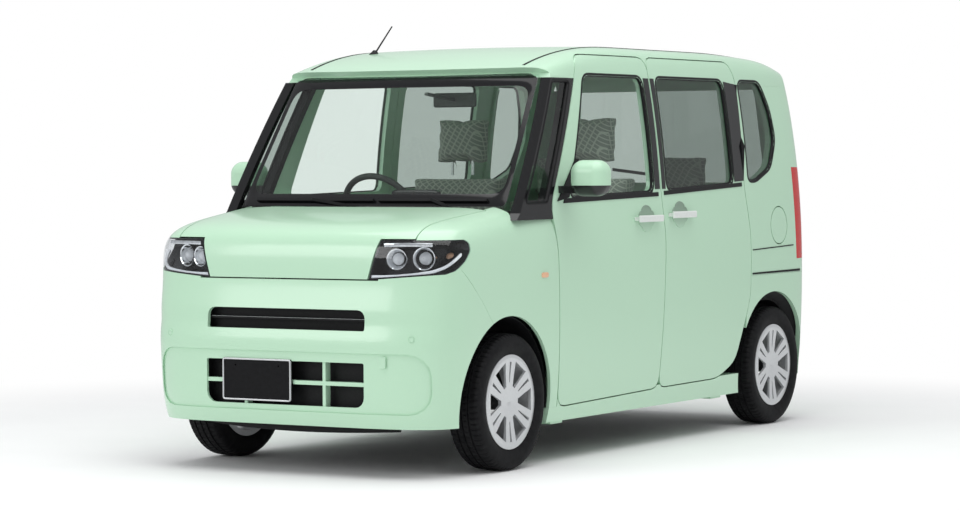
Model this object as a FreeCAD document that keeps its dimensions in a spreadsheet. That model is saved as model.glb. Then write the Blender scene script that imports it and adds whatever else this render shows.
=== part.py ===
import FreeCAD, Part
import Sketcher
import math
import os
from FreeCAD import Vector, Placement, Rotation

# A kei car: a tall box-shaped small car with two hinged front doors and two sliding rear doors.
# Millimetres. The origin is on the ground under the middle of the car, Z points up,
# the nose points to -Y and the car's left side is +X.

doc = FreeCAD.newDocument("kei_car")
sheet = doc.addObject("Spreadsheet::Sheet", "sizes")
row_count = 0


def sizes(values):
    """Write named sizes into the sheet, one row each, and give each cell its name."""
    global row_count
    for name, value in values.items():
        row_count += 1
        sheet.set("A%d" % row_count, name)
        sheet.set("B%d" % row_count, str(value))
        sheet.setAlias("B%d" % row_count, name)
    doc.recompute()


class Size:
    """Read a size of the sheet by its name."""

    def __getattr__(self, name):
        value = float(sheet.get(name))
        setattr(self, name, value)
        return value


size = Size()

# Main sizes of the whole car
sizes({
    "overall_length": 3395, "overall_width": 1475, "overall_height": 1755,
    "wheelbase": 2460, "front_overhang": 580,
    "front_track": 1300, "rear_track": 1295,
    "tyre_radius": 278.5, "tyre_width": 155, "rim_radius": 178,
    "shut_gap": 5, "seat_gap": 0.3, "overrun": 60, "patch_reach": 20, "corner_share": 0.4, "corner_points": 4,
})

# Outer skin: where the side stands in at the sill and at the roof, and how the nose and tail lean
sizes({
    "skin_bottom": 170, "waist_height": 760, "sill_tuck": 30, "sill_tuck_power": 2.2,
    "door_top_height": 1705, "roof_tuck": 88, "roof_tuck_power": 2.16,
    "nose_depth": 500, "nose_rounding": 5, "nose_lean": 20, "nose_lean_start": 620, "nose_lean_end": 800,
    "nose_step": 15, "nose_step_low": 545, "nose_step_high": 592,
    "chin_tuck": 45, "chin_top": 330,
    "tail_depth": 400, "tail_rounding": 9, "tail_lean": 70, "tail_lean_start": 700,
    "tail_lean_power": 2.0,
    "hood_base": 620, "hood_nose_height": 995, "hood_cowl_height": 1075, "hood_rounding": 9,
    "cowl_reach": 1050,
    "roof_base": 1100, "roof_rounding": 20, "roof_crown": 14,
    "roof_front_drop": 118, "roof_front_end": 760, "roof_drop_power": 2.3,
    "roof_rear_drop": 50, "roof_rear_start": 760,
})


def share_of(value, low, high):
    """How far a value lies from low to high, held between zero and one."""
    return min(max((value - low) / (high - low), 0), 1)


def smooth(share):
    """A step from zero to one that starts and ends level."""
    return share * share * (3 - 2 * share)


nose_y = -size.overall_length / 2
tail_y = size.overall_length / 2
front_axle_y = nose_y + size.front_overhang
rear_axle_y = front_axle_y + size.wheelbase
half_width = size.overall_width / 2
nose_corner_y = nose_y + size.nose_depth
tail_corner_y = tail_y - size.tail_depth
cowl_y = -size.cowl_reach


def side_width(z):
    """Half width of the skin at a height: a tucked sill, a waist and a side that leans in to the roof."""
    if z < size.waist_height:
        share = (size.waist_height - z) / (size.waist_height - size.skin_bottom)
        return half_width - size.sill_tuck * share ** size.sill_tuck_power
    share = (z - size.waist_height) / (size.door_top_height - size.waist_height)
    return half_width - size.roof_tuck * share ** size.roof_tuck_power


def nose_line(z):
    """Y of the front face on the centre line: a tucked chin, a step over the bumper and a leaning face."""
    step = size.nose_step * smooth(share_of(z, size.nose_step_low, size.nose_step_high))
    lean = size.nose_lean * smooth(share_of(z, size.nose_lean_start, size.nose_lean_end))
    chin = size.chin_tuck * share_of(size.chin_top - z, 0, size.chin_top - size.skin_bottom) ** 2
    return nose_y + step + lean + chin


def tail_line(z):
    """Y of the rear face on the centre line, leaning forward above the bumper."""
    share = share_of(z, size.tail_lean_start, size.overall_height)
    return tail_y - size.tail_lean * share ** size.tail_lean_power


def roof_line(y):
    """Height of the roof on the centre line, highest a little behind the middle."""
    front = share_of(-y, 0, size.roof_front_end)
    rear = share_of(y, size.roof_rear_start, tail_y)
    drop = size.roof_front_drop * front ** size.roof_drop_power
    return size.overall_height - drop - size.roof_rear_drop * rear ** size.roof_drop_power


def hood_line(y):
    """Height of the bonnet on the centre line, rising from the nose to the cowl."""
    share = (y - nose_y) / (cowl_y - nose_y)
    return size.hood_nose_height + (size.hood_cowl_height - size.hood_nose_height) * share


def skin_level(point, wall, part):
    """Below one inside the skin and above one outside it, with the skin moved in by a wall.

    The wall has three depths: at the sides, at the ends and at the top.
    It sums powers of the three distances, each as a share of the skin's own reach, so the flat faces
    turn into each other through round edges."""
    x, y, z = point
    side_wall, end_wall, top_wall = wall
    across = abs(x) / (side_width(z) - side_wall)
    if part == "hood":
        level = across ** (size.nose_rounding + (size.hood_rounding - size.nose_rounding)
                           * share_of(y, nose_y, cowl_y))
    else:
        level = across ** size.roof_rounding
    if y < nose_corner_y and part == "hood":
        level += ((nose_corner_y - y) / (nose_corner_y - nose_line(z) - end_wall)) ** size.nose_rounding
    if y > tail_corner_y:
        level += ((y - tail_corner_y) / (tail_line(z) - end_wall - tail_corner_y)) ** size.tail_rounding
    if part == "hood" and z > size.hood_base:
        level += ((z - size.hood_base) / (hood_line(y) - top_wall - size.hood_base)) ** size.hood_rounding
    if part == "cabin" and z > size.roof_base:
        top = roof_line(y) - size.roof_crown * (x / half_width) ** 2 - top_wall
        level += ((z - size.roof_base) / (top - size.roof_base)) ** size.roof_rounding
    return level


def skin_point(start, direction, wall, part):
    """The point where a ray from inside the car meets the skin, found by halving."""
    near = 0
    far = size.overall_height
    for step in range(40):
        middle = (near + far) / 2
        point = (start[0] + direction[0] * middle, start[1] + direction[1] * middle,
                 start[2] + direction[2] * middle)
        if skin_level(point, wall, part) > 1:
            far = middle
        else:
            near = middle
    return Vector(*point)


def spread(low, high, count):
    """Evenly spaced values from low to high."""
    return [low + (high - low) * index / (count - 1) for index in range(count)]


def stations(lines):
    """Parameters from zero to one along a family of point rows, by their mean chord lengths."""
    steps = [sum(line[index].distanceToPoint(line[index + 1]) for line in lines)
             for index in range(len(lines[0]) - 1)]
    return [sum(steps[:index]) / sum(steps) for index in range(len(lines[0]))]


def patch(points):
    """A smooth face through a grid of points: curves through the rows, then through their poles."""
    along = stations(points)
    across = stations(list(zip(*points)))
    rows = []
    for line in points:
        curve = Part.BSplineCurve()
        curve.interpolate(Points=line, Parameters=along)
        rows.append(curve)
    columns = []
    for poles in zip(*[row.getPoles() for row in rows]):
        column = Part.BSplineCurve()
        column.interpolate(Points=list(poles), Parameters=across)
        columns.append(column)
    surface = Part.BSplineSurface()
    surface.buildFromPolesMultsKnots(
        list(zip(*[column.getPoles() for column in columns])), columns[0].getMultiplicities(),
        rows[0].getMultiplicities(), columns[0].getKnots(), rows[0].getKnots(), False, False,
        columns[0].Degree, rows[0].Degree)
    return surface.toShape()


def walled(outer, inner):
    """A closed solid between two faces that have the same four-sided layout."""
    sides = [Part.makeRuledSurface(a, b) for a, b in zip(outer.Edges, inner.Edges)]
    shell = Part.makeCompound([outer, inner] + sides)
    shell.sewShape()
    solid = Part.Solid(shell.Shells[0])
    if solid.Volume < 0:
        solid.reverse()
    return solid


def skin_wall(rays, wall, part, lift=0, ways=(1, 1, 1)):
    """The solid between the skin and the same skin moved in by a wall, where a grid of rays meets it.

    The ways switch the wall on at the sides, at the ends and at the top."""
    faces = []
    for depth in [lift, lift + wall]:
        depths = [depth * way for way in ways]
        faces.append(patch([[skin_point(start, direction, depths, part) for start, direction in row]
                            for row in rays]))
    return walled(*faces)


def side_rays(y_low, y_high, y_count, z_low, z_high, z_count):
    """Rays straight out to the left side."""
    return [[((0, y, z), (1, 0, 0)) for z in spread(z_low, z_high, z_count)]
            for y in spread(y_low, y_high, y_count)]


def bend_path(flank_from, corner_a, corner_b, face_to, counts):
    """Rays round one rounded corner, as (start, direction) pairs in a plane of (a, b).

    They leave an inner core at right angles: along its flank, in a fan round its corner and along its face."""
    flank = [((corner_a, b), (1, 0)) for b in spread(flank_from, corner_b, counts[0])]
    fan = [((corner_a, corner_b), (math.cos(turn), math.sin(turn)))
           for turn in [math.radians(a) for a in spread(0, 90, counts[1])]]
    face = [((a, corner_b), (0, 1)) for a in spread(corner_a, face_to, counts[2])]
    return flank[:-1] + fan + face[1:]


def both_sides(path):
    """The path, which ends on the centre line, and its mirror image back to the other flank."""
    return path + [((-start[0], start[1]), (-turn[0], turn[1])) for start, turn in reversed(path[:-1])]


def plan_rays(path, toward, z_low, z_high, z_count):
    """Level rays along a path seen from above: toward is -1 for the nose and 1 for the tail."""
    return [[((start[0], toward * start[1], z), (turn[0], toward * turn[1], 0))
             for z in spread(z_low, z_high, z_count)] for start, turn in path]


def section_rays(path, y_low, y_high, y_count):
    """Rays in one upright cross section after another, along a path of (x, z)."""
    return [[((start[0], y, start[1]), (turn[0], 0, turn[1])) for start, turn in path]
            for y in spread(y_low, y_high, y_count)]


def profile_rays(path, toward, half, across_count):
    """Rays in upright planes along the car, along a path of (y, z) seen from the side."""
    return [[((x, toward * start[0], start[1]), (0, toward * turn[0], turn[1])) for start, turn in path]
            for x in spread(-half, half, across_count)]


def prism(face_points, along, low, high):
    """A closed outline of (a, b) points carried along one axis.

    The points are (y, z) along X, (x, z) along Y and (x, y) along Z."""
    if along == "X":
        points = [Vector(low, a, b) for a, b in face_points]
        reach = Vector(high - low, 0, 0)
    elif along == "Y":
        points = [Vector(a, low, b) for a, b in face_points]
        reach = Vector(0, high - low, 0)
    else:
        points = [Vector(a, b, low) for a, b in face_points]
        reach = Vector(0, 0, high - low)
    return Part.Face(Part.makePolygon(points + points[:1])).extrude(reach)


def grown(face_points, by):
    """The same outline moved out by a distance, or in where it is below zero, with sharp corners kept."""
    face = Part.Face(Part.makePolygon([Vector(a, b, 0) for a, b in face_points + face_points[:1]]))
    wire = face.makeOffset2D(by, 2).OuterWire
    return [(vertex.Point.x, vertex.Point.y) for vertex in wire.OrderedVertexes]


def softened(face_points, radius):
    """The same outline with each corner replaced by a short curve that starts a radius from it."""
    soft = []
    for index, corner in enumerate(face_points):
        before = Vector(*face_points[index - 1], 0)
        after = Vector(*face_points[(index + 1) % len(face_points)], 0)
        middle = Vector(*corner, 0)
        reach = min(radius, size.corner_share * before.distanceToPoint(middle),
                    size.corner_share * after.distanceToPoint(middle))
        start = middle + (before - middle).normalize() * reach
        end = middle + (after - middle).normalize() * reach
        for share in spread(0, 1, int(size.corner_points)):
            point = start * (1 - share) ** 2 + middle * 2 * share * (1 - share) + end * share ** 2
            soft.append((point.x, point.y))
    return soft


def rounded_window(half, low, top, low_radius, top_radius):
    """An oblong outline about the middle of the car with round lower and upper corners."""
    points = []
    for side, up, radius in [(1, 0, low_radius), (1, 1, top_radius), (-1, 1, top_radius), (-1, 0, low_radius)]:
        centre = (side * (half - radius), top - radius if up else low + radius)
        first = {(1, 0): -90, (1, 1): 0, (-1, 1): 90, (-1, 0): 180}[(side, up)]
        for turn in spread(first, first + 90, int(size.corner_points) + 1):
            points.append((centre[0] + radius * math.cos(math.radians(turn)),
                           centre[1] + radius * math.sin(math.radians(turn))))
    return points


def mirrored(shape):
    """The same shape on the other side of the car."""
    return shape.mirror(Vector(0, 0, 0), Vector(1, 0, 0))


def cleaned(shape):
    """One solid, or a compound of them, without seams left by cutting."""
    shape = shape.removeSplitter()
    solids = [solid.copy() for solid in shape.Solids]
    return solids[0] if len(solids) == 1 else Part.makeCompound(solids)


nodes = []


def formed(name, shape):
    """A sub-part whose form comes from the skin of the car."""
    part = doc.addObject("Part::Feature", name)
    part.Label = name
    part.Shape = cleaned(shape)
    part.Placement = Placement()
    nodes.append(part)
    return part


def bound(part, bindings):
    """Tie the properties of an object to cells of the sheet."""
    for path, expression in bindings.items():
        part.setExpression(path, expression)
    return part


def box(name, length, width, height, x, y, z):
    """A box from expressions over the sheet: its three sizes and its lowest corner."""
    part = doc.addObject("Part::Box", name)
    part.Label = name
    return bound(part, {"Length": length, "Width": width, "Height": height, "Placement.Base.x": x,
                        "Placement.Base.y": y, "Placement.Base.z": z})


def listed(part):
    """Take an object as one of the sub-parts that are written."""
    nodes.append(part)
    return part


# Side openings, as (y, z) outlines in sizes measured on the car's left side
sizes({
    "door_front_low": -733, "door_front_waist": -755, "door_front_belt": -807, "door_front_top": -454,
    "door_split_low": 166, "door_split_waist": 210, "door_split_belt": 178, "door_split_top": 178,
    "door_bottom_front": 229, "door_bottom_rear": 248, "door_belt_height": 1065, "door_waist_height": 900,
    "door_head_front": 1678, "door_head_height": 1705,
    "slide_rear_low": 750, "slide_low_height": 253, "slide_shoulder": 920, "slide_shoulder_height": 318,
    "slide_bend": 1061, "slide_bend_height": 620, "slide_rear_waist": 1063, "slide_rear_belt": 1009,
    "slide_belt_height": 1137, "slide_rear_head": 1040, "slide_head_corner": 1000,
    "window_rail": 42, "window_belt_front": 1100, "window_belt_rear": 1150, "window_head": 1615,
    "window_front_low": -640, "window_front_top": -415,
    "split_belt_rise": 40, "door_head_run": 60, "window_rear_rail": 70, "window_belt_rise": 15,
    "slide_window_front_rail": 60, "slide_window_rear_rail": 110, "slide_window_rise": 20, "slide_window_drop": 8,
    "front_patch_start": -860, "front_patch_end": 240, "front_pane_start": -700, "slide_patch_start": 140,
    "slide_patch_end": 1100, "slide_pane_end": 1000, "door_corner": 60, "window_corner": 45, "door_wall": 62, "frame_wall": 34, "glass_inset": 10, "glass_thickness": 4,
})

front_door_outline = [
    (size.door_front_low, size.door_bottom_front), (size.door_split_low, size.door_bottom_rear),
    (size.door_split_waist, size.door_waist_height), (size.door_split_belt, size.door_belt_height + size.split_belt_rise),
    (size.door_split_top, size.door_head_height), (size.door_front_top + size.door_head_run, size.door_head_height),
    (size.door_front_top, size.door_head_front), (size.door_front_belt, size.door_belt_height),
    (size.door_front_waist, size.door_waist_height),
]
sliding_door_outline = [
    (size.door_split_low, size.door_bottom_rear), (size.slide_rear_low, size.slide_low_height),
    (size.slide_shoulder, size.slide_shoulder_height), (size.slide_bend, size.slide_bend_height),
    (size.slide_rear_waist, size.door_waist_height), (size.slide_rear_belt, size.slide_belt_height),
    (size.slide_rear_head, size.window_head), (size.slide_head_corner, size.door_head_height),
    (size.door_split_top, size.door_head_height), (size.door_split_belt, size.door_belt_height + size.split_belt_rise),
    (size.door_split_waist, size.door_waist_height),
]
front_door_outline = softened(front_door_outline, size.door_corner)
sliding_door_outline = softened(sliding_door_outline, size.door_corner)
front_window_outline = [
    (size.window_front_low, size.window_belt_front),
    (size.door_split_belt - size.window_rear_rail, size.window_belt_front + size.window_belt_rise),
    (size.door_split_top - size.window_rear_rail, size.window_head), (size.window_front_top, size.window_head),
]
sliding_window_outline = [
    (size.door_split_belt + size.slide_window_front_rail, size.window_belt_front + size.slide_window_rise),
    (size.slide_rear_belt - size.slide_window_rear_rail, size.window_belt_rear - size.slide_window_drop),
    (size.slide_rear_belt - size.slide_window_rear_rail, size.window_head),
    (size.door_split_top + size.slide_window_front_rail, size.window_head),
]
sizes({
    "quarter_glass_front": 1062, "quarter_glass_low": 1140, "quarter_glass_low_height": 1154,
    "quarter_glass_bend": 1306, "quarter_glass_bend_height": 1214, "quarter_glass_rear": 1382,
    "quarter_glass_rear_height": 1350, "quarter_glass_back": 1358, "quarter_glass_back_height": 1490,
    "quarter_glass_top_rear": 1290,
    "corner_glass_low": 1085, "corner_glass_top": 1585, "corner_glass_low_front": -1000,
    "corner_glass_low_rear": -836, "corner_glass_top_front": -682, "corner_glass_top_rear": -548,
})
quarter_window_outline = [
    (size.quarter_glass_front, size.quarter_glass_low_height),
    (size.quarter_glass_low, size.quarter_glass_low_height), (size.quarter_glass_bend, size.quarter_glass_bend_height),
    (size.quarter_glass_rear, size.quarter_glass_rear_height),
    (size.quarter_glass_back, size.quarter_glass_back_height), (size.quarter_glass_top_rear, size.window_head),
    (size.quarter_glass_front, size.window_head),
]
corner_window_outline = [
    (size.corner_glass_low_front, size.corner_glass_low), (size.corner_glass_low_rear, size.corner_glass_low),
    (size.corner_glass_top_rear, size.corner_glass_top), (size.corner_glass_top_front, size.corner_glass_top),
]
front_window_outline = softened(front_window_outline, size.window_corner)
sliding_window_outline = softened(sliding_window_outline, size.window_corner)
quarter_window_outline = softened(quarter_window_outline, size.window_corner)

half_gap = size.shut_gap / 2
side_high = half_width + size.overrun


def side_prism(outline, by=0):
    """An outline on the side of the car carried from the middle to beyond the skin."""
    return prism(grown(outline, by) if by else outline, "X", 0, side_high)


front_aperture = side_prism(front_door_outline, half_gap)
sliding_aperture = side_prism(sliding_door_outline, half_gap)


def wheel_arch(axle_y, radius, low):
    """A cylinder across one side of the car at a wheel."""
    return Part.makeCylinder(radius, side_high - low, Vector(low, axle_y, size.tyre_radius), Vector(1, 0, 0))


sizes({
    "roof_side_low": 1600, "arch_radius": 350, "front_arch_shift": 32, "rear_arch_shift": 30, "roof_core": 190,
    "tail_core": 150, "nose_core": 250, "hood_core": 190, "pillar_patch_low": 990, "pane_patch_low": 1070,
    "pane_patch_high": 1650, "pillar_patch_start": -1020, "pillar_patch_end": -560, "quarter_pane_start": 1040,
    "quarter_pane_end": 1440,
})
roof_core_x = half_width - size.roof_tuck - size.roof_core
roof_core_z = size.overall_height - size.roof_core
pillar_path = [((0, z), (1, 0)) for z in spread(size.pillar_patch_low, size.roof_side_low + size.patch_reach, 7)]
pane_path = [((0, z), (1, 0)) for z in spread(size.pane_patch_low, size.pane_patch_high, 6)]
rail_path = bend_path(size.roof_base, roof_core_x, roof_core_z, roof_core_x - size.roof_core, (6, 7, 2))
roof_path = both_sides(bend_path(size.roof_side_low - size.patch_reach, roof_core_x, roof_core_z, 0, (2, 7, 4)))
tail_core_x = half_width - size.tail_core
tail_core_y = tail_y - size.tail_core
nose_core_x = half_width - size.nose_core
nose_core_y = -nose_y - size.nose_core
front_arch = wheel_arch(front_axle_y - size.front_arch_shift, size.arch_radius, size.overrun)
rear_arch = wheel_arch(rear_axle_y - size.rear_arch_shift, size.arch_radius, size.overrun)

# Front doors: a deep lower door and a thinner window frame, cut from the side skin


def door_shape(outline, window, y_low, y_high, y_count):
    """A door as thick as the whole wall, with its window cut."""
    low = skin_wall(side_rays(y_low, y_high, y_count, size.skin_bottom, size.roof_base, 7),
                    size.door_wall, "cabin")
    high = skin_wall(section_rays(rail_path, y_low, y_high, y_count), size.frame_wall, "cabin", 0,
                     (1, 0, 1))
    door = low.fuse(high).common(side_prism(outline, -half_gap))
    return door.cut(side_prism(window))


def pane_shape(window, y_low, y_high, y_count, path, part):
    """A side window that fills its opening with a seat clearance."""
    pane = skin_wall(section_rays(path, y_low, y_high, y_count), size.glass_thickness, part, size.glass_inset,
                     (1, 0, 1))
    return pane.common(side_prism(window, -size.seat_gap))


front_door = door_shape(front_door_outline, front_window_outline, size.front_patch_start, size.front_patch_end, 7)
sliding_door = door_shape(sliding_door_outline, sliding_window_outline, size.slide_patch_start,
                          size.slide_patch_end, 7)
front_pane = pane_shape(front_window_outline, size.front_pane_start, size.front_patch_end, 5, pane_path, "cabin")
sliding_pane = pane_shape(sliding_window_outline, size.slide_patch_start, size.slide_pane_end, 5, pane_path, "cabin")
quarter_pane = pane_shape(quarter_window_outline, size.quarter_pane_start, size.quarter_pane_end, 5, pane_path,
                          "cabin")
corner_pane = pane_shape(corner_window_outline, size.pillar_patch_start, size.pillar_patch_end, 5, pillar_path,
                         "belt")
formed("front_door_left", front_door)
formed("front_door_right", mirrored(front_door))
formed("sliding_doors", Part.makeCompound([sliding_door, mirrored(sliding_door)]))
formed("front_door_glass_left", front_pane)
formed("front_door_glass_right", mirrored(front_pane))
side_panes = [sliding_pane, quarter_pane, corner_pane]
formed("side_glasses", Part.makeCompound(side_panes + [mirrored(pane) for pane in side_panes]))

# Tailgate, from the roof's rear edge down between the tail lamps into the bumper
sizes({
    "gate_reach": 1545, "gate_wall": 46, "gate_low": 600, "gate_low_half": 560, "gate_step": 725,
    "gate_step_half": 610, "gate_half": 622, "gate_lamp_low": 900, "gate_head": 1300, "gate_top_half": 588,
    "gate_glass_low": 1140, "gate_glass_half": 530, "gate_glass_top": 1590, "gate_glass_top_half": 490,
    "gate_patch_drop": 15, "gate_core_ahead": 40, "gate_core_drop": 150, "gate_patch_side": 10,
    "plate_bay_half": 190, "plate_bay_low": 700, "plate_bay_high": 905, "plate_bay_depth": 15,
})
gate_outline = [
    (-size.gate_low_half, size.gate_low), (size.gate_low_half, size.gate_low),
    (size.gate_step_half, size.gate_step), (size.gate_half, size.gate_lamp_low),
    (size.gate_half, size.gate_head), (size.gate_top_half, size.overall_height + size.overrun),
    (-size.gate_top_half, size.overall_height + size.overrun), (-size.gate_half, size.gate_head),
    (-size.gate_half, size.gate_lamp_low), (-size.gate_step_half, size.gate_step),
]
gate_glass_outline = [
    (-size.gate_glass_half, size.gate_glass_low), (size.gate_glass_half, size.gate_glass_low),
    (size.gate_glass_top_half, size.gate_glass_top), (-size.gate_glass_top_half, size.gate_glass_top),
]
gate_aperture = prism(grown(gate_outline, half_gap), "Y", size.gate_reach - half_gap, tail_y + size.overrun)

gate_path = bend_path(size.gate_low - size.gate_patch_drop, tail_core_y - size.gate_core_ahead,
                      size.overall_height - size.gate_core_drop, size.gate_reach - size.gate_core_ahead, (7, 7, 2))
gate_rays = profile_rays(gate_path, 1, size.gate_half + size.gate_patch_side, 9)
gate = skin_wall(gate_rays, size.gate_wall, "cabin", 0, (0, 1, 1))
gate = gate.common(prism(grown(gate_outline, -half_gap), "Y", size.gate_reach + half_gap, tail_y + size.overrun))
gate = gate.cut(Part.makeBox(2 * size.plate_bay_half, size.overrun, size.plate_bay_high - size.plate_bay_low,
                             Vector(-size.plate_bay_half, tail_y - size.plate_bay_depth, size.plate_bay_low)))
formed("tailgate", gate.cut(prism(gate_glass_outline, "Y", 0, tail_y + size.overrun)))
gate_pane = skin_wall(gate_rays, size.glass_thickness, "cabin", size.glass_inset, (0, 1, 1))
formed("tailgate_glass", gate_pane.common(prism(grown(gate_glass_outline, -size.seat_gap), "Y", size.gate_reach,
                                                tail_y + size.overrun)))

# Roof with its side rails, between the windshield and the tailgate
sizes({"roof_wall": 34, "roof_patch_start": -760, "roof_patch_end": 1600, "pillar_wall": 46, "quarter_wall": 46})
roof = skin_wall(section_rays(roof_path, size.roof_patch_start, size.roof_patch_end, 13), size.roof_wall, "cabin", 0, (1, 0, 1))
above = Part.makeBox(2 * side_high, size.overall_length, size.overall_height,
                     Vector(-side_high, nose_y, size.roof_side_low))
roof = roof.common(above).cut(gate_aperture)
for cutter in [front_aperture, sliding_aperture, side_prism(quarter_window_outline),
               side_prism(corner_window_outline)]:
    roof = roof.cut(cutter).cut(mirrored(cutter))

# Windshield: a gently bowed pane between its four corners
sizes({
    "shield_low_reach": 1047, "shield_low_height": 1062, "shield_low_half": 668,
    "shield_top_reach": 689, "shield_top_height": 1613, "shield_top_half": 621,
    "shield_bow": 45, "shield_glass": 5,
})


def shield_point(across, up, back):
    """A point of the windshield: across runs from -1 to 1 between its side edges, up from 0 to 1."""
    half = size.shield_low_half + (size.shield_top_half - size.shield_low_half) * up
    edge_y = -size.shield_low_reach + (size.shield_low_reach - size.shield_top_reach) * up
    z = size.shield_low_height + (size.shield_top_height - size.shield_low_height) * up
    lean = math.atan2(size.shield_low_reach - size.shield_top_reach,
                      size.shield_top_height - size.shield_low_height)
    bow = size.shield_bow * (1 - across ** 2)
    return Vector(half * across, edge_y - bow + back * math.cos(lean), z - back * math.sin(lean))


def shield_slab(front, back, low, top, edge):
    """A slab parallel to the windshield, from its front face to its back."""
    def grid(depth):
        return patch([[shield_point(across, up, depth) for up in spread(low, top, 5)]
                      for across in spread(-edge, edge, 9)])
    return walled(grid(front), grid(back))


shield_space_back = shield_slab(-60, size.shield_glass + size.seat_gap, 0.6, 1.2, 0.9)
shield_space = shield_slab(-size.overall_width / 2, 0, -0.6, 1.6, 1.3)
formed("windshield", shield_slab(0, size.shield_glass, 0.0, 1.0, 0.985))
roof = roof.cut(shield_slab(-size.overall_width / 4, size.shield_glass + size.seat_gap, -0.2, 1.02, 1.2))
formed("roof", roof)

# Front pillars, each with a small fixed window between the windshield and the door
sizes({
    "pillar_foot_front": 1090, "pillar_foot": 1012, "pillar_shield_gap": 12, "pillar_shield_foot": 1040,
    "pillar_head_gap": 8, "pillar_head_rear": 400, "pillar_foot_rear": 790, "pillar_front": -1110, "pillar_rear": -390,
})
pillar_outline = [
    (-size.pillar_foot_front, size.pillar_foot), (-size.shield_low_reach - size.pillar_shield_gap, size.pillar_shield_foot),
    (-size.shield_top_reach - size.pillar_head_gap, size.roof_side_low - size.seat_gap),
    (-size.pillar_head_rear, size.roof_side_low - size.seat_gap), (-size.pillar_foot_rear, size.pillar_foot),
]
pillar = skin_wall(section_rays(pillar_path, size.pillar_front, size.pillar_rear, 7), size.pillar_wall, "belt")
pillar = pillar.common(side_prism(pillar_outline)).cut(front_aperture).cut(side_prism(corner_window_outline))
pillar = pillar.cut(shield_slab(-size.overall_width / 4, size.shield_glass + size.seat_gap, -0.2, 1.1, 0.99))
formed("front_pillars", Part.makeCompound([pillar, mirrored(pillar)]))

# Rear quarter panels, round the corner to the tailgate
sizes({
    "lamp_front": 1535, "lamp_top": 1214, "lamp_low": 777, "lamp_low_reach": 1560, "lamp_wall": 60,
    "bumper_split": 712, "bumper_wall": 18, "bumper_low": 215, "quarter_patch_start": 960, "tail_face_reach": 100,
    "quarter_front": 900, "bumper_seam": 1, "tail_overrun": 50, "lamp_patch_start": 1480, "lamp_patch_reach": 40,
    "bumper_patch_start": 1020, "bumper_patch_low": 190, "bumper_patch_high": 740,
})
tail_path = bend_path(size.quarter_patch_start, tail_core_x, tail_core_y, tail_core_x - size.tail_face_reach,
                      (4, 8, 3))
corner_rays = plan_rays(tail_path, 1, size.bumper_split - size.overrun, size.roof_side_low + size.patch_reach, 9)
lamp_outline = [
    (size.lamp_front, size.lamp_top), (size.lamp_low_reach, size.lamp_low), (tail_y + size.overrun, size.lamp_low),
    (tail_y + size.overrun, size.lamp_top),
]
quarter = skin_wall(corner_rays, size.quarter_wall, "cabin", 0, (1, 1, 0))
quarter = quarter.common(prism([
    (size.quarter_front, size.bumper_split + size.bumper_seam),
    (tail_y + size.tail_overrun, size.bumper_split + size.bumper_seam),
    (tail_y + size.tail_overrun, size.roof_side_low - size.seat_gap),
    (size.quarter_front, size.roof_side_low - size.seat_gap)], "X", 0, side_high))
quarter = quarter.cut(sliding_aperture).cut(gate_aperture).cut(side_prism(quarter_window_outline))
lamp_space = side_prism(lamp_outline, size.seat_gap)
quarter = quarter.cut(lamp_space)
sizes({"fuel_lid_y": 1368, "fuel_lid_z": 940, "fuel_lid_radius": 86, "fuel_lid_thickness": 5,
       "fuel_pocket_depth": 36})
fuel_pocket = Part.makeCylinder(size.fuel_lid_radius + size.shut_gap, half_width,
                                Vector(half_width - size.fuel_pocket_depth, size.fuel_lid_y, size.fuel_lid_z),
                                Vector(1, 0, 0))
formed("quarter_panels", Part.makeCompound([cleaned(quarter.cut(fuel_pocket)), cleaned(mirrored(quarter))]))
lid_reach = size.fuel_lid_radius + size.patch_reach
lid_rays = side_rays(size.fuel_lid_y - lid_reach, size.fuel_lid_y + lid_reach, 4,
                     size.fuel_lid_z - lid_reach, size.fuel_lid_z + lid_reach, 4)
lid_disc = Part.makeCylinder(size.fuel_lid_radius, half_width,
                             Vector(half_width / 2, size.fuel_lid_y, size.fuel_lid_z), Vector(1, 0, 0))
formed("fuel_lid", skin_wall(lid_rays, size.fuel_lid_thickness, "cabin").common(lid_disc))

lamp_path = bend_path(size.lamp_patch_start, tail_core_x, tail_core_y, tail_core_x - size.tail_face_reach,
                      (3, 8, 3))
lamp_rays = plan_rays(lamp_path, 1, size.lamp_low - size.lamp_patch_reach, size.lamp_top + size.lamp_patch_reach, 5)
tail_lamp = skin_wall(lamp_rays, size.lamp_wall, "cabin", 0, (1, 1, 0)).common(side_prism(lamp_outline))
tail_lamp = tail_lamp.cut(gate_aperture)
formed("tail_lamps", Part.makeCompound([tail_lamp, mirrored(tail_lamp)]))

# Rear bumper, reaching forward over the rear arches to the sliding doors
bumper_path = both_sides(bend_path(size.bumper_patch_start, tail_core_x, tail_core_y, 0, (3, 8, 4)))
rear_bumper = skin_wall(plan_rays(bumper_path, 1, size.bumper_patch_low, size.bumper_patch_high, 6),
                        size.bumper_wall, "cabin", 0, (1, 1, 0))
rear_region = prism([(size.quarter_front, size.bumper_low), (tail_y + size.tail_overrun, size.bumper_low),
                     (tail_y + size.tail_overrun, size.bumper_split), (size.quarter_front, size.bumper_split)],
                    "X", -side_high, side_high)
rear_bumper = rear_bumper.common(rear_region).cut(gate_aperture)
for cutter in [sliding_aperture, rear_arch]:
    rear_bumper = rear_bumper.cut(cutter).cut(mirrored(cutter))
formed("rear_bumper", rear_bumper)

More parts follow.
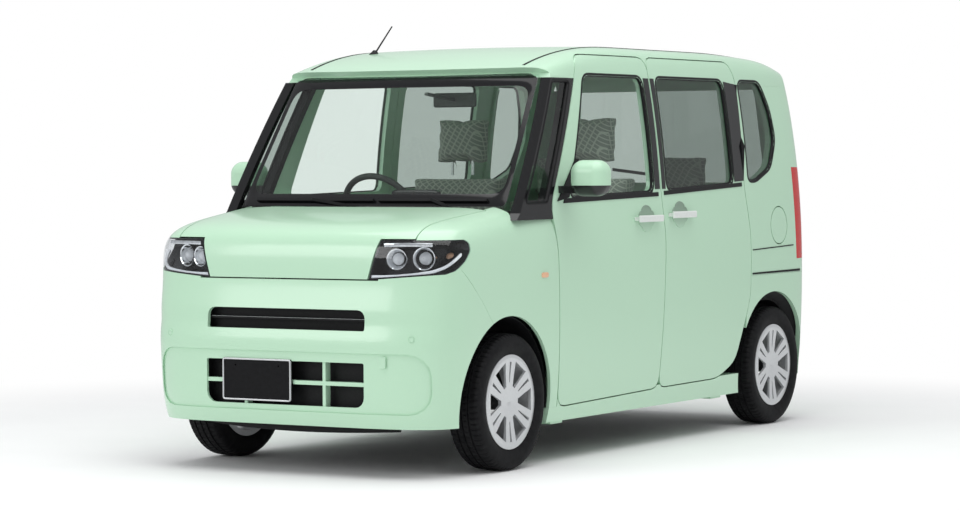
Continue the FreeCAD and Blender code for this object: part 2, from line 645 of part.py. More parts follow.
# Sills under the doors
sizes({
    "sill_wall": 90, "sill_top": 262, "sill_front": -900, "sill_rear": 1080, "sill_step": 5, "sill_lip": 2,
    "sill_cut": 400, "wing_foot": 232, "jack_x": 660, "jack_half": 30, "jack_long": 100, "jack_deep": 30,
    "jack_drop": 12, "jack_front": -700, "jack_rear": 780,
})
sill = skin_wall(side_rays(size.sill_front, size.sill_rear, 9, size.skin_bottom, size.sill_top, 4), size.sill_wall,
                 "cabin")
for cutter in [front_aperture, sliding_aperture, front_arch, rear_arch]:
    sill = sill.cut(cutter)
sill = max(sill.Solids, key=lambda solid: solid.Volume)
sizes({
    "floor_half": 640, "floor_low": 212, "floor_wall": 34, "floor_front": 792, "floor_kick": 840,
    "floor_kick_rear": 925, "load_floor": 470, "floor_rear": 1630, "wheel_house_inner": 500, "house_radius": 314,
})
sill = sill.cut(Part.makeBox(size.floor_half + size.seat_gap, size.overall_length,
                             size.floor_wall + 2 * size.seat_gap, Vector(0, nose_y, size.floor_low - size.seat_gap)))
sill = sill.cut(Part.makeBox(size.floor_half + size.seat_gap, size.overall_length, size.overall_height,
                             Vector(0, size.floor_kick - size.floor_wall - size.sill_step,
                                    size.floor_low - size.seat_gap)))
sill = sill.cut(Part.makeBox(side_high, size.sill_cut, size.sill_cut,
                             Vector(0, size.door_front_low - size.sill_lip - size.sill_cut,
                                    size.wing_foot - size.seat_gap)))
for middle in [size.jack_front, size.jack_rear]:
    sill = sill.fuse(Part.makeBox(2 * size.jack_half, size.jack_long, size.jack_deep,
                                  Vector(size.jack_x - size.jack_half, middle - size.jack_long / 2,
                                         size.skin_bottom - size.jack_drop)))
formed("sills", Part.makeCompound([sill, mirrored(sill)]))

# Front end: bonnet, wings, bumper and headlamps, all cut from one rounded skin
sizes({
    "hood_wall": 22, "hood_rear_half": 612, "hood_rear_reach": 1128, "hood_lamp_half": 575,
    "hood_lamp_reach": 1490, "hood_lip_height": 787,
    "headlamp_in_low": 386, "headlamp_in_top": 432, "headlamp_low": 787, "headlamp_top": 944,
    "headlamp_out_low": 690, "headlamp_out_low_height": 810, "headlamp_top_rear": 1462,
    "headlamp_end": 1440, "headlamp_end_top": 932, "headlamp_end_low": 898, "headlamp_slope_rear": 1480,
    "headlamp_slope_height": 855, "headlamp_foot_rear": 1538, "headlamp_foot_height": 815,
    "headlamp_corner": 26,
    "lens_wall": 4, "headlamp_depth": 92, "wing_wall": 14, "hood_patch_drop": 20, "hood_core_rise": 180,
    "hood_patch_rear": 30, "hood_patch_side": 15,
})
hood_plan = [
    (-size.hood_rear_half, -size.hood_rear_reach), (-size.hood_lamp_half, -size.hood_lamp_reach),
    (-size.hood_lamp_half, nose_y - size.overrun), (size.hood_lamp_half, nose_y - size.overrun),
    (size.hood_lamp_half, -size.hood_lamp_reach), (size.hood_rear_half, -size.hood_rear_reach),
]
headlamp_outline = [
    (size.headlamp_in_low, size.headlamp_low), (size.headlamp_out_low, size.headlamp_out_low_height),
    (side_high, size.headlamp_out_low_height + size.overrun), (side_high, size.headlamp_top),
    (size.headlamp_in_top, size.headlamp_top),
]


headlamp_side = [
    (nose_y - size.overrun, size.headlamp_top + size.overrun),
    (-size.headlamp_top_rear, size.headlamp_top + size.seat_gap),
    (-size.headlamp_end, size.headlamp_end_top), (-size.headlamp_end, size.headlamp_end_low),
    (-size.headlamp_slope_rear, size.headlamp_slope_height), (-size.headlamp_foot_rear, size.headlamp_foot_height),
    (nose_y, size.headlamp_low - size.overrun), (nose_y - size.overrun, size.headlamp_low - size.overrun),
]


def lamp_prism(by):
    """The headlamp's outline from the front, held to its outline from the side."""
    front = prism(grown(headlamp_outline, by), "Y", nose_y - size.overrun, -size.cowl_reach)
    side = softened(grown(headlamp_side, by), size.headlamp_corner)
    return front.common(prism(side, "X", 0, side_high + size.overrun))


hood_path = bend_path(size.hood_lip_height - size.hood_patch_drop, -nose_y - size.hood_core,
                      size.hood_base + size.hood_core_rise, size.hood_rear_reach - size.hood_patch_rear, (2, 9, 6))
hood = skin_wall(profile_rays(hood_path, -1, size.hood_rear_half + size.hood_patch_side, 13), size.hood_wall, "hood",
                 0, (0, 1, 1))
hood_above = Part.makeBox(2 * side_high, size.overall_length, size.overall_height,
                          Vector(-side_high, nose_y - size.overrun, size.hood_lip_height + half_gap))
hood = hood.common(prism(grown(hood_plan, -half_gap), "Z", 0, size.overall_height)).common(hood_above)
for cutter in [lamp_prism(size.shut_gap), mirrored(lamp_prism(size.shut_gap))]:
    hood = hood.cut(cutter)
formed("bonnet", max(hood.Solids, key=lambda solid: solid.Volume))

sizes({
    "bumper_rear": 1262, "bumper_arch_height": 560, "bumper_rise_rear": 1280, "bumper_rise_height": 601,
    "bumper_mid_rear": 1360, "bumper_mid_height": 687, "bumper_lamp_rear": 1512, "bumper_lamp_height": 836,
    "bumper_head_rear": 1545, "bumper_head": 862, "bumper_gap": 3, "bumper_foot": 200,
    "bumper_half_seam": 0.5, "wing_core": 200, "wing_core_rise": 220, "wing_face_reach": 330, "wing_patch_low": 10,
    "wing_patch_start": -1640, "wing_patch_end": -740, "wing_front": 1660, "wing_long": 920, "wing_bay_half": 600,
    "wing_bay_front": 1130, "wing_bay_long": 340, "wing_bay_low": 900, "wing_bay_tall": 400, "wing_bay_inner": 300,
    "wing_bay_inner_front": 840,
})
bumper_line = [
    (-size.bumper_rear, size.bumper_arch_height), (-size.bumper_rise_rear, size.bumper_rise_height),
    (-size.bumper_mid_rear, size.bumper_mid_height), (-size.bumper_lamp_rear, size.bumper_lamp_height),
    (-size.bumper_head_rear, size.bumper_head), (nose_y - size.overrun, size.bumper_head),
    (nose_y - size.overrun, size.bumper_foot), (-size.bumper_rear, size.bumper_foot),
]
wing_path = bend_path(size.skin_bottom + size.wing_patch_low, half_width - size.wing_core,
                      size.hood_base + size.wing_core_rise, half_width - size.wing_face_reach, (6, 8, 3))
wing = skin_wall(section_rays(wing_path, size.wing_patch_start, size.wing_patch_end, 14), size.wing_wall, "hood", 0,
                 (1, 0, 1))
wing = wing.cut(prism(grown(hood_plan, half_gap), "Z", 0, size.overall_height))
wing = wing.cut(prism(grown(bumper_line, size.bumper_half_seam), "X", 0, side_high))
wing = wing.cut(lamp_prism(size.seat_gap)).cut(front_aperture).cut(front_arch)
wing = wing.cut(side_prism(grown(pillar_outline, size.seat_gap)))
wing = wing.common(Part.makeBox(side_high, size.wing_long, size.overall_height,
                                Vector(0, -size.wing_front, size.wing_foot)))
wing = wing.cut(Part.makeBox(size.wing_bay_half, size.wing_bay_long, size.wing_bay_tall,
                             Vector(0, -size.wing_bay_front, size.wing_bay_low)))
wing = wing.cut(Part.makeBox(size.wing_bay_tall, size.wing_bay_long, size.wing_bay_tall,
                             Vector(size.wing_bay_inner, -size.wing_bay_inner_front, size.wing_bay_low)))
wing = wing.cut(shield_slab(-size.seat_gap, size.shield_glass + size.seat_gap, -0.05, 0.3, 0.99))
wing = max(wing.Solids, key=lambda solid: solid.Volume)
formed("front_wings", Part.makeCompound([wing, mirrored(wing)]))

sizes({
    "grille_half": 381, "grille_low": 585, "grille_top": 668, "intake_low": 282, "intake_top": 459,
    "intake_half": 380.7, "grille_bar": 7, "nose_patch_start": 1080, "nose_patch_rise": 250,
    "plate_hollow_half": 167, "plate_hollow_tall": 169, "plate_hollow_reach": 380, "plate_hollow_deep": 400,
    "plate_x": -128, "front_plate_z": 380,
})
nose_path = both_sides(bend_path(size.nose_patch_start, nose_core_x, nose_core_y, 0, (4, 9, 4)))
nose_rays = plan_rays(nose_path, -1, size.skin_bottom, size.hood_base + size.nose_patch_rise, 17)
front_bumper = skin_wall(nose_rays, size.bumper_wall, "hood", 0, (1, 1, 0))
front_bumper = front_bumper.common(prism(grown(bumper_line, -size.bumper_half_seam), "X", -side_high, side_high))
for cutter in [front_arch, lamp_prism(size.seat_gap)]:
    front_bumper = front_bumper.cut(cutter).cut(mirrored(cutter))
sizes({
    "panel_half": 655, "panel_low": 258, "panel_top": 498, "panel_corner": 85, "panel_depth": 6,
    "grille_corner": 34, "grille_foot_corner": 8, "intake_corner": 42, "intake_head_corner": 8,
})
front_bumper = front_bumper.cut(Part.makeBox(
    2 * size.headlamp_in_top, size.nose_depth, size.overall_height,
    Vector(-size.headlamp_in_top, nose_y - size.overrun, size.hood_lip_height - size.bumper_gap)))
grille_outline = rounded_window(size.grille_half, size.grille_low, size.grille_top, size.grille_foot_corner,
                                size.grille_corner)
intake_outline = rounded_window(size.grille_half, size.intake_low, size.intake_top, size.intake_corner,
                                size.intake_head_corner)
for outline in [grille_outline, intake_outline]:
    front_bumper = front_bumper.cut(prism(outline, "Y", nose_y - size.overrun, nose_corner_y))
panel_outline = rounded_window(size.panel_half, size.panel_low, size.panel_top, size.panel_corner, size.panel_corner)
panel = skin_wall(plan_rays(nose_path, -1, size.skin_bottom, size.hood_base, 12), size.panel_depth + size.overrun,
                  "hood", -size.overrun, (1, 1, 0))
front_bumper = front_bumper.cut(panel.common(prism(panel_outline, "Y", nose_y - size.overrun, nose_corner_y)))
front_bumper = front_bumper.cut(Part.makeBox(
    2 * size.plate_hollow_half, size.plate_hollow_deep, size.plate_hollow_tall,
    Vector(size.plate_x - size.plate_hollow_half, nose_y - size.plate_hollow_reach,
           size.front_plate_z - size.plate_hollow_tall / 2)))
formed("front_bumper", max(front_bumper.Solids, key=lambda solid: solid.Volume))

sizes({
    "lamp_skin_start": 1370, "lamp_skin_end": 370, "lamp_skin_drop": 20, "lamp_skin_rise": 12, "bowl_wall": 12,
    "bowl_rim": 6,
})
lamp_path = bend_path(size.lamp_skin_start, nose_core_x, nose_core_y, size.lamp_skin_end, (2, 8, 2))
lamp_skin = plan_rays(lamp_path, -1, size.headlamp_low - size.lamp_skin_drop,
                      size.headlamp_top + size.lamp_skin_rise, 6)
lens = skin_wall(lamp_skin, size.lens_wall, "hood", 0, (1, 1, 0)).common(lamp_prism(-size.seat_gap))
formed("headlamp_lenses", Part.makeCompound([lens, mirrored(lens)]))
bowl = skin_wall(lamp_skin, size.headlamp_depth, "hood", size.lens_wall + size.seat_gap, (1, 1, 0))
bowl = bowl.common(lamp_prism(-size.seat_gap))
hollow = skin_wall(lamp_skin, size.headlamp_depth - size.bowl_wall, "hood", size.lens_wall, (1, 1, 0))
bowl = bowl.cut(hollow.common(lamp_prism(-size.bowl_rim)))
bowl = max(bowl.Solids, key=lambda solid: solid.Volume)
formed("headlamp_bowls", Part.makeCompound([bowl, mirrored(bowl)]))

# Sketch helpers: each corner of an outline is held by two dimensions that follow the sheet


def origin_plane(body, role):
    """One of the body's own origin planes."""
    return [feature for feature in body.Origin.OriginFeatures if feature.Role == role][0]


def outline_sketch(body, name, role, corners):
    """A closed outline on an origin plane, with every corner placed by expressions over the sheet."""
    sketch = body.newObject("Sketcher::SketchObject", name)
    sketch.AttachmentSupport = [(origin_plane(body, role), "")]
    sketch.MapMode = "FlatFace"
    places = []
    for corner in corners:
        values = [sketch.evalExpression(expression) for expression in corner]
        places.append([float(getattr(value, "Value", value)) for value in values])
    for index, place in enumerate(places):
        after = places[(index + 1) % len(places)]
        sketch.addGeometry(Part.LineSegment(Vector(*place, 0), Vector(*after, 0)), False)
    for index in range(len(places)):
        sketch.addConstraint(Sketcher.Constraint("Coincident", index, 2, (index + 1) % len(places), 1))
    for index, corner in enumerate(corners):
        for kind, expression, value in zip(["DistanceX", "DistanceY"], corner, places[index]):
            number = sketch.addConstraint(Sketcher.Constraint(kind, -1, 1, index, 1, value))
            sketch.setExpression("Constraints[%d]" % number, expression)
    return sketch


def new_body(name, x, y, z):
    """An empty body placed by expressions."""
    body = doc.addObject("PartDesign::Body", name)
    body.Label = name
    return bound(body, {"Placement.Base.x": x, "Placement.Base.y": y, "Placement.Base.z": z})


def turned(body, name, sketch):
    """Turn an outline about the wheel's axle line."""
    turn = body.newObject("PartDesign::Revolution", name)
    turn.Profile = sketch
    turn.ReferenceAxis = (sketch, ["H_Axis"])
    turn.Angle = 360
    return turn


FRONT_AXLE = "-sizes.overall_length / 2 + sizes.front_overhang"
REAR_AXLE = FRONT_AXLE + " + sizes.wheelbase"

# Wheels: a tyre, and a rim with a cover of six twin spokes
sizes({
    "tyre_bead": 58, "tyre_bead_top": 193, "tyre_belly": 236, "tyre_shoulder": 266, "tyre_shoulder_half": 71,
    "tread_half": 56, "tread_edge": 276.5, "rim_half": 66, "rim_lip": 192, "rim_lip_wall": 5, "rim_well": 169,
    "cover_edge": 69, "cover_mid": 63, "cover_hub": 58, "cover_wall": 9, "cover_mid_radius": 110,
    "hub_face": 46, "hub_radius": 62, "spoke_count": 6,
    "window_low": 66, "window_low_half": 9, "window_high": 160, "window_high_half": 46,
    "slot_low": 80, "slot_low_half": 2.5, "slot_high": 163, "slot_high_half": 7,
})
tyre_corners = [
    ("-sizes.tyre_bead", "sizes.rim_radius + sizes.seat_gap"),
    ("sizes.tyre_bead", "sizes.rim_radius + sizes.seat_gap"),
    ("sizes.tyre_bead", "sizes.tyre_bead_top"), ("sizes.tyre_width / 2", "sizes.tyre_belly"),
    ("sizes.tyre_shoulder_half", "sizes.tyre_shoulder"), ("sizes.tread_half", "sizes.tread_edge"),
    ("0", "sizes.tyre_radius"),
    ("-sizes.tread_half", "sizes.tread_edge"), ("-sizes.tyre_shoulder_half", "sizes.tyre_shoulder"),
    ("-sizes.tyre_width / 2", "sizes.tyre_belly"), ("-sizes.tyre_bead", "sizes.tyre_bead_top"),
]
rim_corners = [
    ("-sizes.rim_half", "sizes.rim_well"), ("-sizes.rim_half", "sizes.rim_lip"),
    ("-sizes.rim_half + sizes.rim_lip_wall", "sizes.rim_lip"),
    ("-sizes.tyre_bead - sizes.seat_gap", "sizes.rim_radius"),
    ("sizes.tyre_bead + sizes.seat_gap", "sizes.rim_radius"),
    ("sizes.rim_half - sizes.rim_lip_wall", "sizes.rim_lip"),
    ("sizes.rim_half", "sizes.rim_lip"), ("sizes.cover_edge", "sizes.rim_radius"),
    ("sizes.cover_mid", "sizes.cover_mid_radius"), ("sizes.cover_hub", "0"),
    ("sizes.hub_face", "0"), ("sizes.hub_face", "sizes.hub_radius"),
    ("sizes.cover_mid - sizes.cover_wall", "sizes.cover_mid_radius"),
    ("sizes.cover_mid - sizes.cover_wall", "sizes.rim_well"),
]


def spoke_cut(body, name, low, low_half, high, high_half, middle_share):
    """One opening of the cover, cut right through and repeated round the wheel."""
    turn = "360 / sizes.spoke_count * %s" % middle_share
    corners = []
    for radius, half in [(low, "-" + low_half), (low, low_half), (high, high_half), (high, "-" + high_half)]:
        corners.append(("%s * cos(%s) - (%s) * sin(%s)" % (half, turn, radius, turn),
                        "%s * sin(%s) + (%s) * cos(%s)" % (half, turn, radius, turn)))
    sketch = outline_sketch(body, name + "_outline", "YZ_Plane", corners)
    doc.recompute()
    pocket = body.newObject("PartDesign::Pocket", name)
    pocket.Profile = sketch
    pocket.Type = "ThroughAll"
    pocket.Reversed = True
    doc.recompute()
    pattern = body.newObject("PartDesign::PolarPattern", name + "_ring")
    pattern.Originals = [pocket]
    pattern.Axis = (sketch, ["N_Axis"])
    pattern.Angle = 360
    pattern.setExpression("Occurrences", "sizes.spoke_count")
    body.Tip = pattern
    doc.recompute()
    return pattern


for end, axle, track in [("front", FRONT_AXLE, "sizes.front_track"), ("rear", REAR_AXLE, "sizes.rear_track")]:
    for side, sign in [("left", 1), ("right", -1)]:
        place = ("%d * %s / 2" % (sign, track), axle, "sizes.tyre_radius")
        facing = Rotation(Vector(0, 0, 1), 0 if sign > 0 else 180)
        tyre = new_body("tyre_%s_%s" % (end, side), *place)
        turned(tyre, tyre.Label + "_turn", outline_sketch(tyre, tyre.Label + "_section", "XY_Plane", tyre_corners))
        tyre.Placement.Rotation = facing
        rim = new_body("wheel_%s_%s" % (end, side), *place)
        turned(rim, rim.Label + "_turn", outline_sketch(rim, rim.Label + "_section", "XY_Plane", rim_corners))
        rim.Placement.Rotation = facing
        doc.recompute()
        full = rim.Shape.Volume
        spoke_cut(rim, rim.Label + "_window", "sizes.window_low", "sizes.window_low_half", "sizes.window_high",
                  "sizes.window_high_half", "0.5")
        spoke_cut(rim, rim.Label + "_slot", "sizes.slot_low", "sizes.slot_low_half", "sizes.slot_high",
                  "sizes.slot_high_half", "0")
        assert rim.Shape.Volume < full
        listed(tyre)
        listed(rim)

# Steered knuckles: a hub carrier under a strut that leans inwards
sizes({
    "kingpin_low_x": 588, "kingpin_low_z": 200, "kingpin_top_x": 474, "kingpin_top_z": 770, "kingpin_caster": 20,
    "strut_radius": 24, "strut_low": 0.36, "spring_radius": 56, "spring_low": 0.62, "hub_bore": 32, "hub_long": 72,
    "upright_tall": 44, "upright_deep": 60, "upright_wide": 90, "upright_in": 30, "knuckle_arm": 120,
    "knuckle_arm_wide": 22, "knuckle_arm_in": 40, "knuckle_arm_drop": 20,
})
king_low = Vector(size.kingpin_low_x, front_axle_y, size.kingpin_low_z)
king_top = Vector(size.kingpin_top_x, front_axle_y + size.kingpin_caster, size.kingpin_top_z)
king_line = king_top - king_low


def along_line(start, line, low, high, radius):
    """A round bar on a line, between two shares of its length."""
    return Part.makeCylinder(radius, line.Length * (high - low), start + line * low, line)


hub_x = size.front_track / 2 + size.hub_face - size.seat_gap
knuckle = Part.makeCylinder(size.hub_bore, size.hub_long,
                            Vector(hub_x - size.hub_long, front_axle_y, size.tyre_radius), Vector(1, 0, 0))
knuckle = knuckle.fuse(along_line(king_low, king_line, 0, 0.98, size.strut_radius))
knuckle = knuckle.fuse(along_line(king_low, king_line, size.spring_low, 0.96, size.spring_radius))
steer_arm = Part.makeBox(size.knuckle_arm_wide, size.knuckle_arm, size.knuckle_arm_wide,
                         Vector(size.kingpin_low_x - size.knuckle_arm_in, front_axle_y,
                                size.tyre_radius - size.knuckle_arm_drop))
upright = Part.makeBox(size.upright_wide, size.upright_deep, size.upright_tall,
                       Vector(size.kingpin_low_x - size.upright_in, front_axle_y - size.upright_deep / 2,
                              size.tyre_radius - size.upright_tall / 2))
knuckle = knuckle.fuse([steer_arm, upright])
formed("knuckle_left", knuckle)
formed("knuckle_right", mirrored(knuckle))

# Rear axle: a crossbeam between two trailing arms, with a stub for each wheel
sizes({
    "axle_beam_radius": 38, "axle_beam_ahead": 150, "axle_arm_ahead": 380, "axle_arm_x": 520, "axle_arm_radius": 24,
    "axle_stub_radius": 32, "axle_beam_height": 262, "axle_bush_radius": 34, "axle_bush_long": 60,
    "axle_spring_radius": 48, "axle_spring_in": 110,
})
stub_x = size.rear_track / 2 + size.hub_face - size.seat_gap
axle = Part.makeCylinder(size.axle_beam_radius, 2 * size.axle_arm_x,
                         Vector(-size.axle_arm_x, rear_axle_y - size.axle_beam_ahead, size.axle_beam_height),
                         Vector(1, 0, 0))
for sign in [1, -1]:
    arm = Part.makeCylinder(size.axle_arm_radius, size.axle_arm_ahead,
                            Vector(sign * size.axle_arm_x, rear_axle_y - size.axle_arm_ahead, size.tyre_radius),
                            Vector(0, 1, 0))
    stub = Part.makeCylinder(size.axle_stub_radius, stub_x - size.axle_arm_x + 2 * size.axle_arm_radius,
                             Vector(sign * (size.axle_arm_x - 2 * size.axle_arm_radius), rear_axle_y,
                                    size.tyre_radius), Vector(sign, 0, 0))
    bush = Part.makeCylinder(size.axle_bush_radius, size.axle_bush_long,
                             Vector(sign * size.axle_arm_x - size.axle_bush_long / 2,
                                    rear_axle_y - size.axle_arm_ahead, size.tyre_radius), Vector(1, 0, 0))
    spring = Part.makeCylinder(size.axle_spring_radius, size.load_floor - size.seat_gap - size.axle_beam_height,
                               Vector(sign * (size.axle_arm_x - size.axle_spring_in),
                                      rear_axle_y - size.axle_beam_ahead,
                                      size.axle_beam_height))
    axle = axle.fuse([arm, stub, bush, spring])
formed("rear_axle", axle)

# Floor: one stepped pan from the firewall to the rear end, with room for the rear wheels
floor = new_body("floor_pan", "-sizes.floor_half", "0", "0")
floor_sketch = outline_sketch(floor, "floor_profile", "YZ_Plane", [
    ("-sizes.floor_front", "sizes.floor_low"), ("sizes.floor_kick", "sizes.floor_low"),
    ("sizes.floor_kick_rear", "sizes.load_floor"), ("sizes.floor_rear", "sizes.load_floor"),
    ("sizes.floor_rear", "sizes.load_floor + sizes.floor_wall"),
    ("sizes.floor_kick_rear - sizes.floor_wall", "sizes.load_floor + sizes.floor_wall"),
    ("sizes.floor_kick - sizes.floor_wall", "sizes.floor_low + sizes.floor_wall"),
    ("-sizes.floor_front", "sizes.floor_low + sizes.floor_wall"),
])
floor_pad = floor.newObject("PartDesign::Pad", "floor_pad")
floor_pad.Profile = floor_sketch
floor_pad.setExpression("Length", "2 * sizes.floor_half")
doc.recompute()
floor_shape = floor.Shape
for sign in [1, -1]:
    house = Part.makeCylinder(size.house_radius, side_high, Vector(sign * size.wheel_house_inner, rear_axle_y,
                                                                   size.tyre_radius), Vector(sign, 0, 0))
    floor_shape = floor_shape.cut(house)
doc.removeObject("floor_pad")
doc.removeObject("floor_profile")
doc.removeObject("floor_pan")
formed("floor_pan", floor_shape)

# Rear wheel housings over the floor's cut-outs
sizes({"house_wall": 6, "house_outer": 672, "house_foot": 60})
house_shapes = []
for sign in [1, -1]:
    base = Vector(sign * size.wheel_house_inner, rear_axle_y, size.tyre_radius)
    turn = Vector(sign, 0, 0)
    long = size.house_outer - size.wheel_house_inner
    cup = Part.makeCylinder(size.house_radius - size.seat_gap, long, base, turn)
    cup = cup.cut(Part.makeCylinder(size.house_radius - size.seat_gap - size.house_wall, long,
                                    base + turn * size.house_wall, turn))
    cut = Part.makeBox(2 * side_high, size.overall_length, size.tyre_radius + size.house_foot,
                       Vector(-side_high, 0, 0))
    house_shapes.append(max(cup.cut(cut).Solids, key=lambda solid: solid.Volume))

# Firewall and cowl behind the engine, and the plain engine block
sizes({
    "firewall_wall": 24, "firewall_foot": 816, "firewall_head": 948, "firewall_top": 984, "firewall_half": 560,
    "engine_half": 390, "engine_front": 1500, "engine_rear": 960, "engine_low": 236, "engine_top": 720,
    "cowl_front": 1114, "cowl_rear": 950, "cowl_low": 986, "cowl_top": 1040,
    "cowl_half": 600, "cowl_bend": 1030, "cowl_drop": 20,
})


def slanted(half, low, high):
    """The sloping firewall between two heights."""
    panel = prism([(-size.firewall_foot, size.floor_low),
                   (-size.firewall_foot + size.firewall_wall - size.seat_gap, size.floor_low),
                   (-size.firewall_head + size.firewall_wall, size.firewall_top),
                   (-size.firewall_head, size.firewall_top)], "X", -half, half)
    return panel.common(Part.makeBox(2 * half, size.overall_length, high - low, Vector(-half, nose_y, low)))


sizes({
    "toe_half": 400, "arch_shelf_low": 690, "arch_shelf_wall": 24, "arch_panel_rear": 767, "arch_panel_half": 610,
    "arch_shelf_deep": 128, "cheek_foot_front": 821, "cheek_head_front": 900, "cheek_half": 6,
})
panel_foot = size.floor_low + size.floor_wall + size.seat_gap
panel_head = size.arch_shelf_low + size.arch_shelf_wall
firewall = slanted(size.toe_half, size.floor_low, size.firewall_top).fuse(
    slanted(size.firewall_half, size.arch_shelf_low, size.firewall_top))
for side in [1, -1]:
    low = size.toe_half if side > 0 else -size.arch_panel_half
    wide = size.arch_panel_half - size.toe_half
    panel = Part.makeBox(wide, size.arch_shelf_wall, panel_head - panel_foot,
                         Vector(low, -size.arch_panel_rear - size.arch_shelf_wall, panel_foot))
    shelf = Part.makeBox(wide, size.arch_shelf_deep, size.arch_shelf_wall,
                         Vector(low, -size.arch_panel_rear - size.arch_shelf_deep, size.arch_shelf_low))
    cheek = prism([(-size.cheek_foot_front, panel_foot), (-size.arch_panel_rear, panel_foot),
                   (-size.arch_panel_rear, panel_head), (-size.cheek_head_front, panel_head)], "X",
                  side * size.toe_half - size.cheek_half, side * size.toe_half + size.cheek_half)
    firewall = firewall.fuse([panel, shelf, cheek])
formed("firewall", firewall)
cowl = prism([(-size.cowl_front, size.cowl_low), (-size.cowl_rear, size.cowl_low),
              (-size.cowl_rear, size.cowl_top - size.cowl_drop), (-size.cowl_bend, size.cowl_top),
              (-size.cowl_front, size.cowl_top)], "X", -size.cowl_half, size.cowl_half)
formed("cowl", cowl)
listed(box("engine", "2 * sizes.engine_half", "sizes.engine_front - sizes.engine_rear",
           "sizes.engine_top - sizes.engine_low", "-sizes.engine_half", "-sizes.engine_front", "sizes.engine_low"))

# Cabin: dashboard, steering wheel and seats
sizes({
    "dash_half": 610, "dash_front": 920, "dash_rear": 640, "dash_low": 760, "dash_top": 1046,
    "dash_foot_front": 34, "dash_foot_rise": 60, "dash_foot_rear": 60, "dash_knee_rise": 90, "dash_brow": 30,
    "dash_brow_drop": 20, "dash_shelf": 120, "dash_glass_gap": 5,
    "wheel_x": -330, "wheel_y": -455, "wheel_z": 1030, "wheel_rake": 28, "wheel_ring": 180, "wheel_grip": 14,
    "wheel_boss": 58, "wheel_boss_deep": 40, "wheel_boss_back": 30, "wheel_bar_wide": 12, "wheel_bar_deep": 24,
    "column_radius": 26, "column_long": 240, "column_start": 275,
})
dash = prism([
    (-size.dash_front + size.dash_foot_front, size.dash_low + size.dash_foot_rise),
    (-size.dash_rear - size.dash_foot_rear, size.dash_low), (-size.dash_rear, size.dash_low + size.dash_knee_rise),
    (-size.dash_rear - size.dash_brow, size.dash_top - size.dash_brow_drop),
    (-size.dash_rear - size.dash_shelf, size.dash_top), (-size.dash_front + size.dash_glass_gap, size.dash_top),
], "X", -size.dash_half, size.dash_half)
formed("dashboard", dash)
wheel_axis = Vector(0, math.cos(math.radians(size.wheel_rake)), math.sin(math.radians(size.wheel_rake)))
wheel_place = Vector(size.wheel_x, size.wheel_y, size.wheel_z)
boss = Part.makeCylinder(size.wheel_boss, size.wheel_boss_deep, wheel_place - wheel_axis * size.wheel_boss_back,
                         wheel_axis)
wheel_bar = Part.makeBox(2 * size.wheel_ring, size.wheel_bar_wide, size.wheel_bar_deep,
                         Vector(-size.wheel_ring, -size.wheel_bar_wide / 2, -size.wheel_bar_deep / 2))
wheel_bar.Placement = Placement(wheel_place, Rotation(Vector(1, 0, 0), 90 - size.wheel_rake))
ring = Part.makeTorus(size.wheel_ring, size.wheel_grip)
ring.Placement = Placement(wheel_place, Rotation(Vector(0, 0, 1), wheel_axis))
formed("steering_wheel", ring.fuse(boss.fuse(wheel_bar)))
column = Part.makeCylinder(size.column_radius, size.column_long, wheel_place - wheel_axis * size.column_start,
                           wheel_axis)
formed("steering_column", column.cut(dash))

sizes({
    "seat_wide": 500, "seat_x": 330, "seat_front": -480, "seat_rear": 40, "seat_low": 500, "seat_thick": 150,
    "back_gap": 2, "back_rise": 10, "back_thick": 120, "back_top": 1200, "back_lean": 138, "back_top_thick": 102,
    "head_wide": 260, "head_low": 1240, "head_tall": 210, "head_set": 150, "head_thick": 90, "head_lean": 20,
    "head_front_lean": 30, "post_radius": 6, "post_long": 60, "post_x": 55, "post_set": 195,
    "base_inset": 60, "base_rear_inset": 20,
    "rear_seat_front": 520, "rear_seat_rear": 960, "rear_seat_half": 600, "bench_low": 440, "bench_step_front": 790,
    "bench_step_rear": 875, "bench_step": 506, "bench_rear": 30, "bench_rear_top": 570, "bench_top": 580,
    "bench_base_inset": 100, "bench_base_front": 40, "bench_base_rear": 640, "bench_back_front": 20,
    "bench_back_foot": 80, "bench_back_lean": 140, "bench_back_top": 1080, "bench_back_head": 120,
    "house_gap": 4, "rear_head_set": 135, "rear_head_thick": 80, "rear_head_top": 1270, "rear_head_front": 160,
    "rear_head_rear": 230,
})
base_low = size.floor_low + size.floor_wall + size.seat_gap
back_y = size.seat_rear + size.back_gap
head_y = size.seat_rear + size.head_set
bench_back_y = size.rear_seat_rear - size.bench_back_front
cushions = []
backs = []
heads = []
bases = []
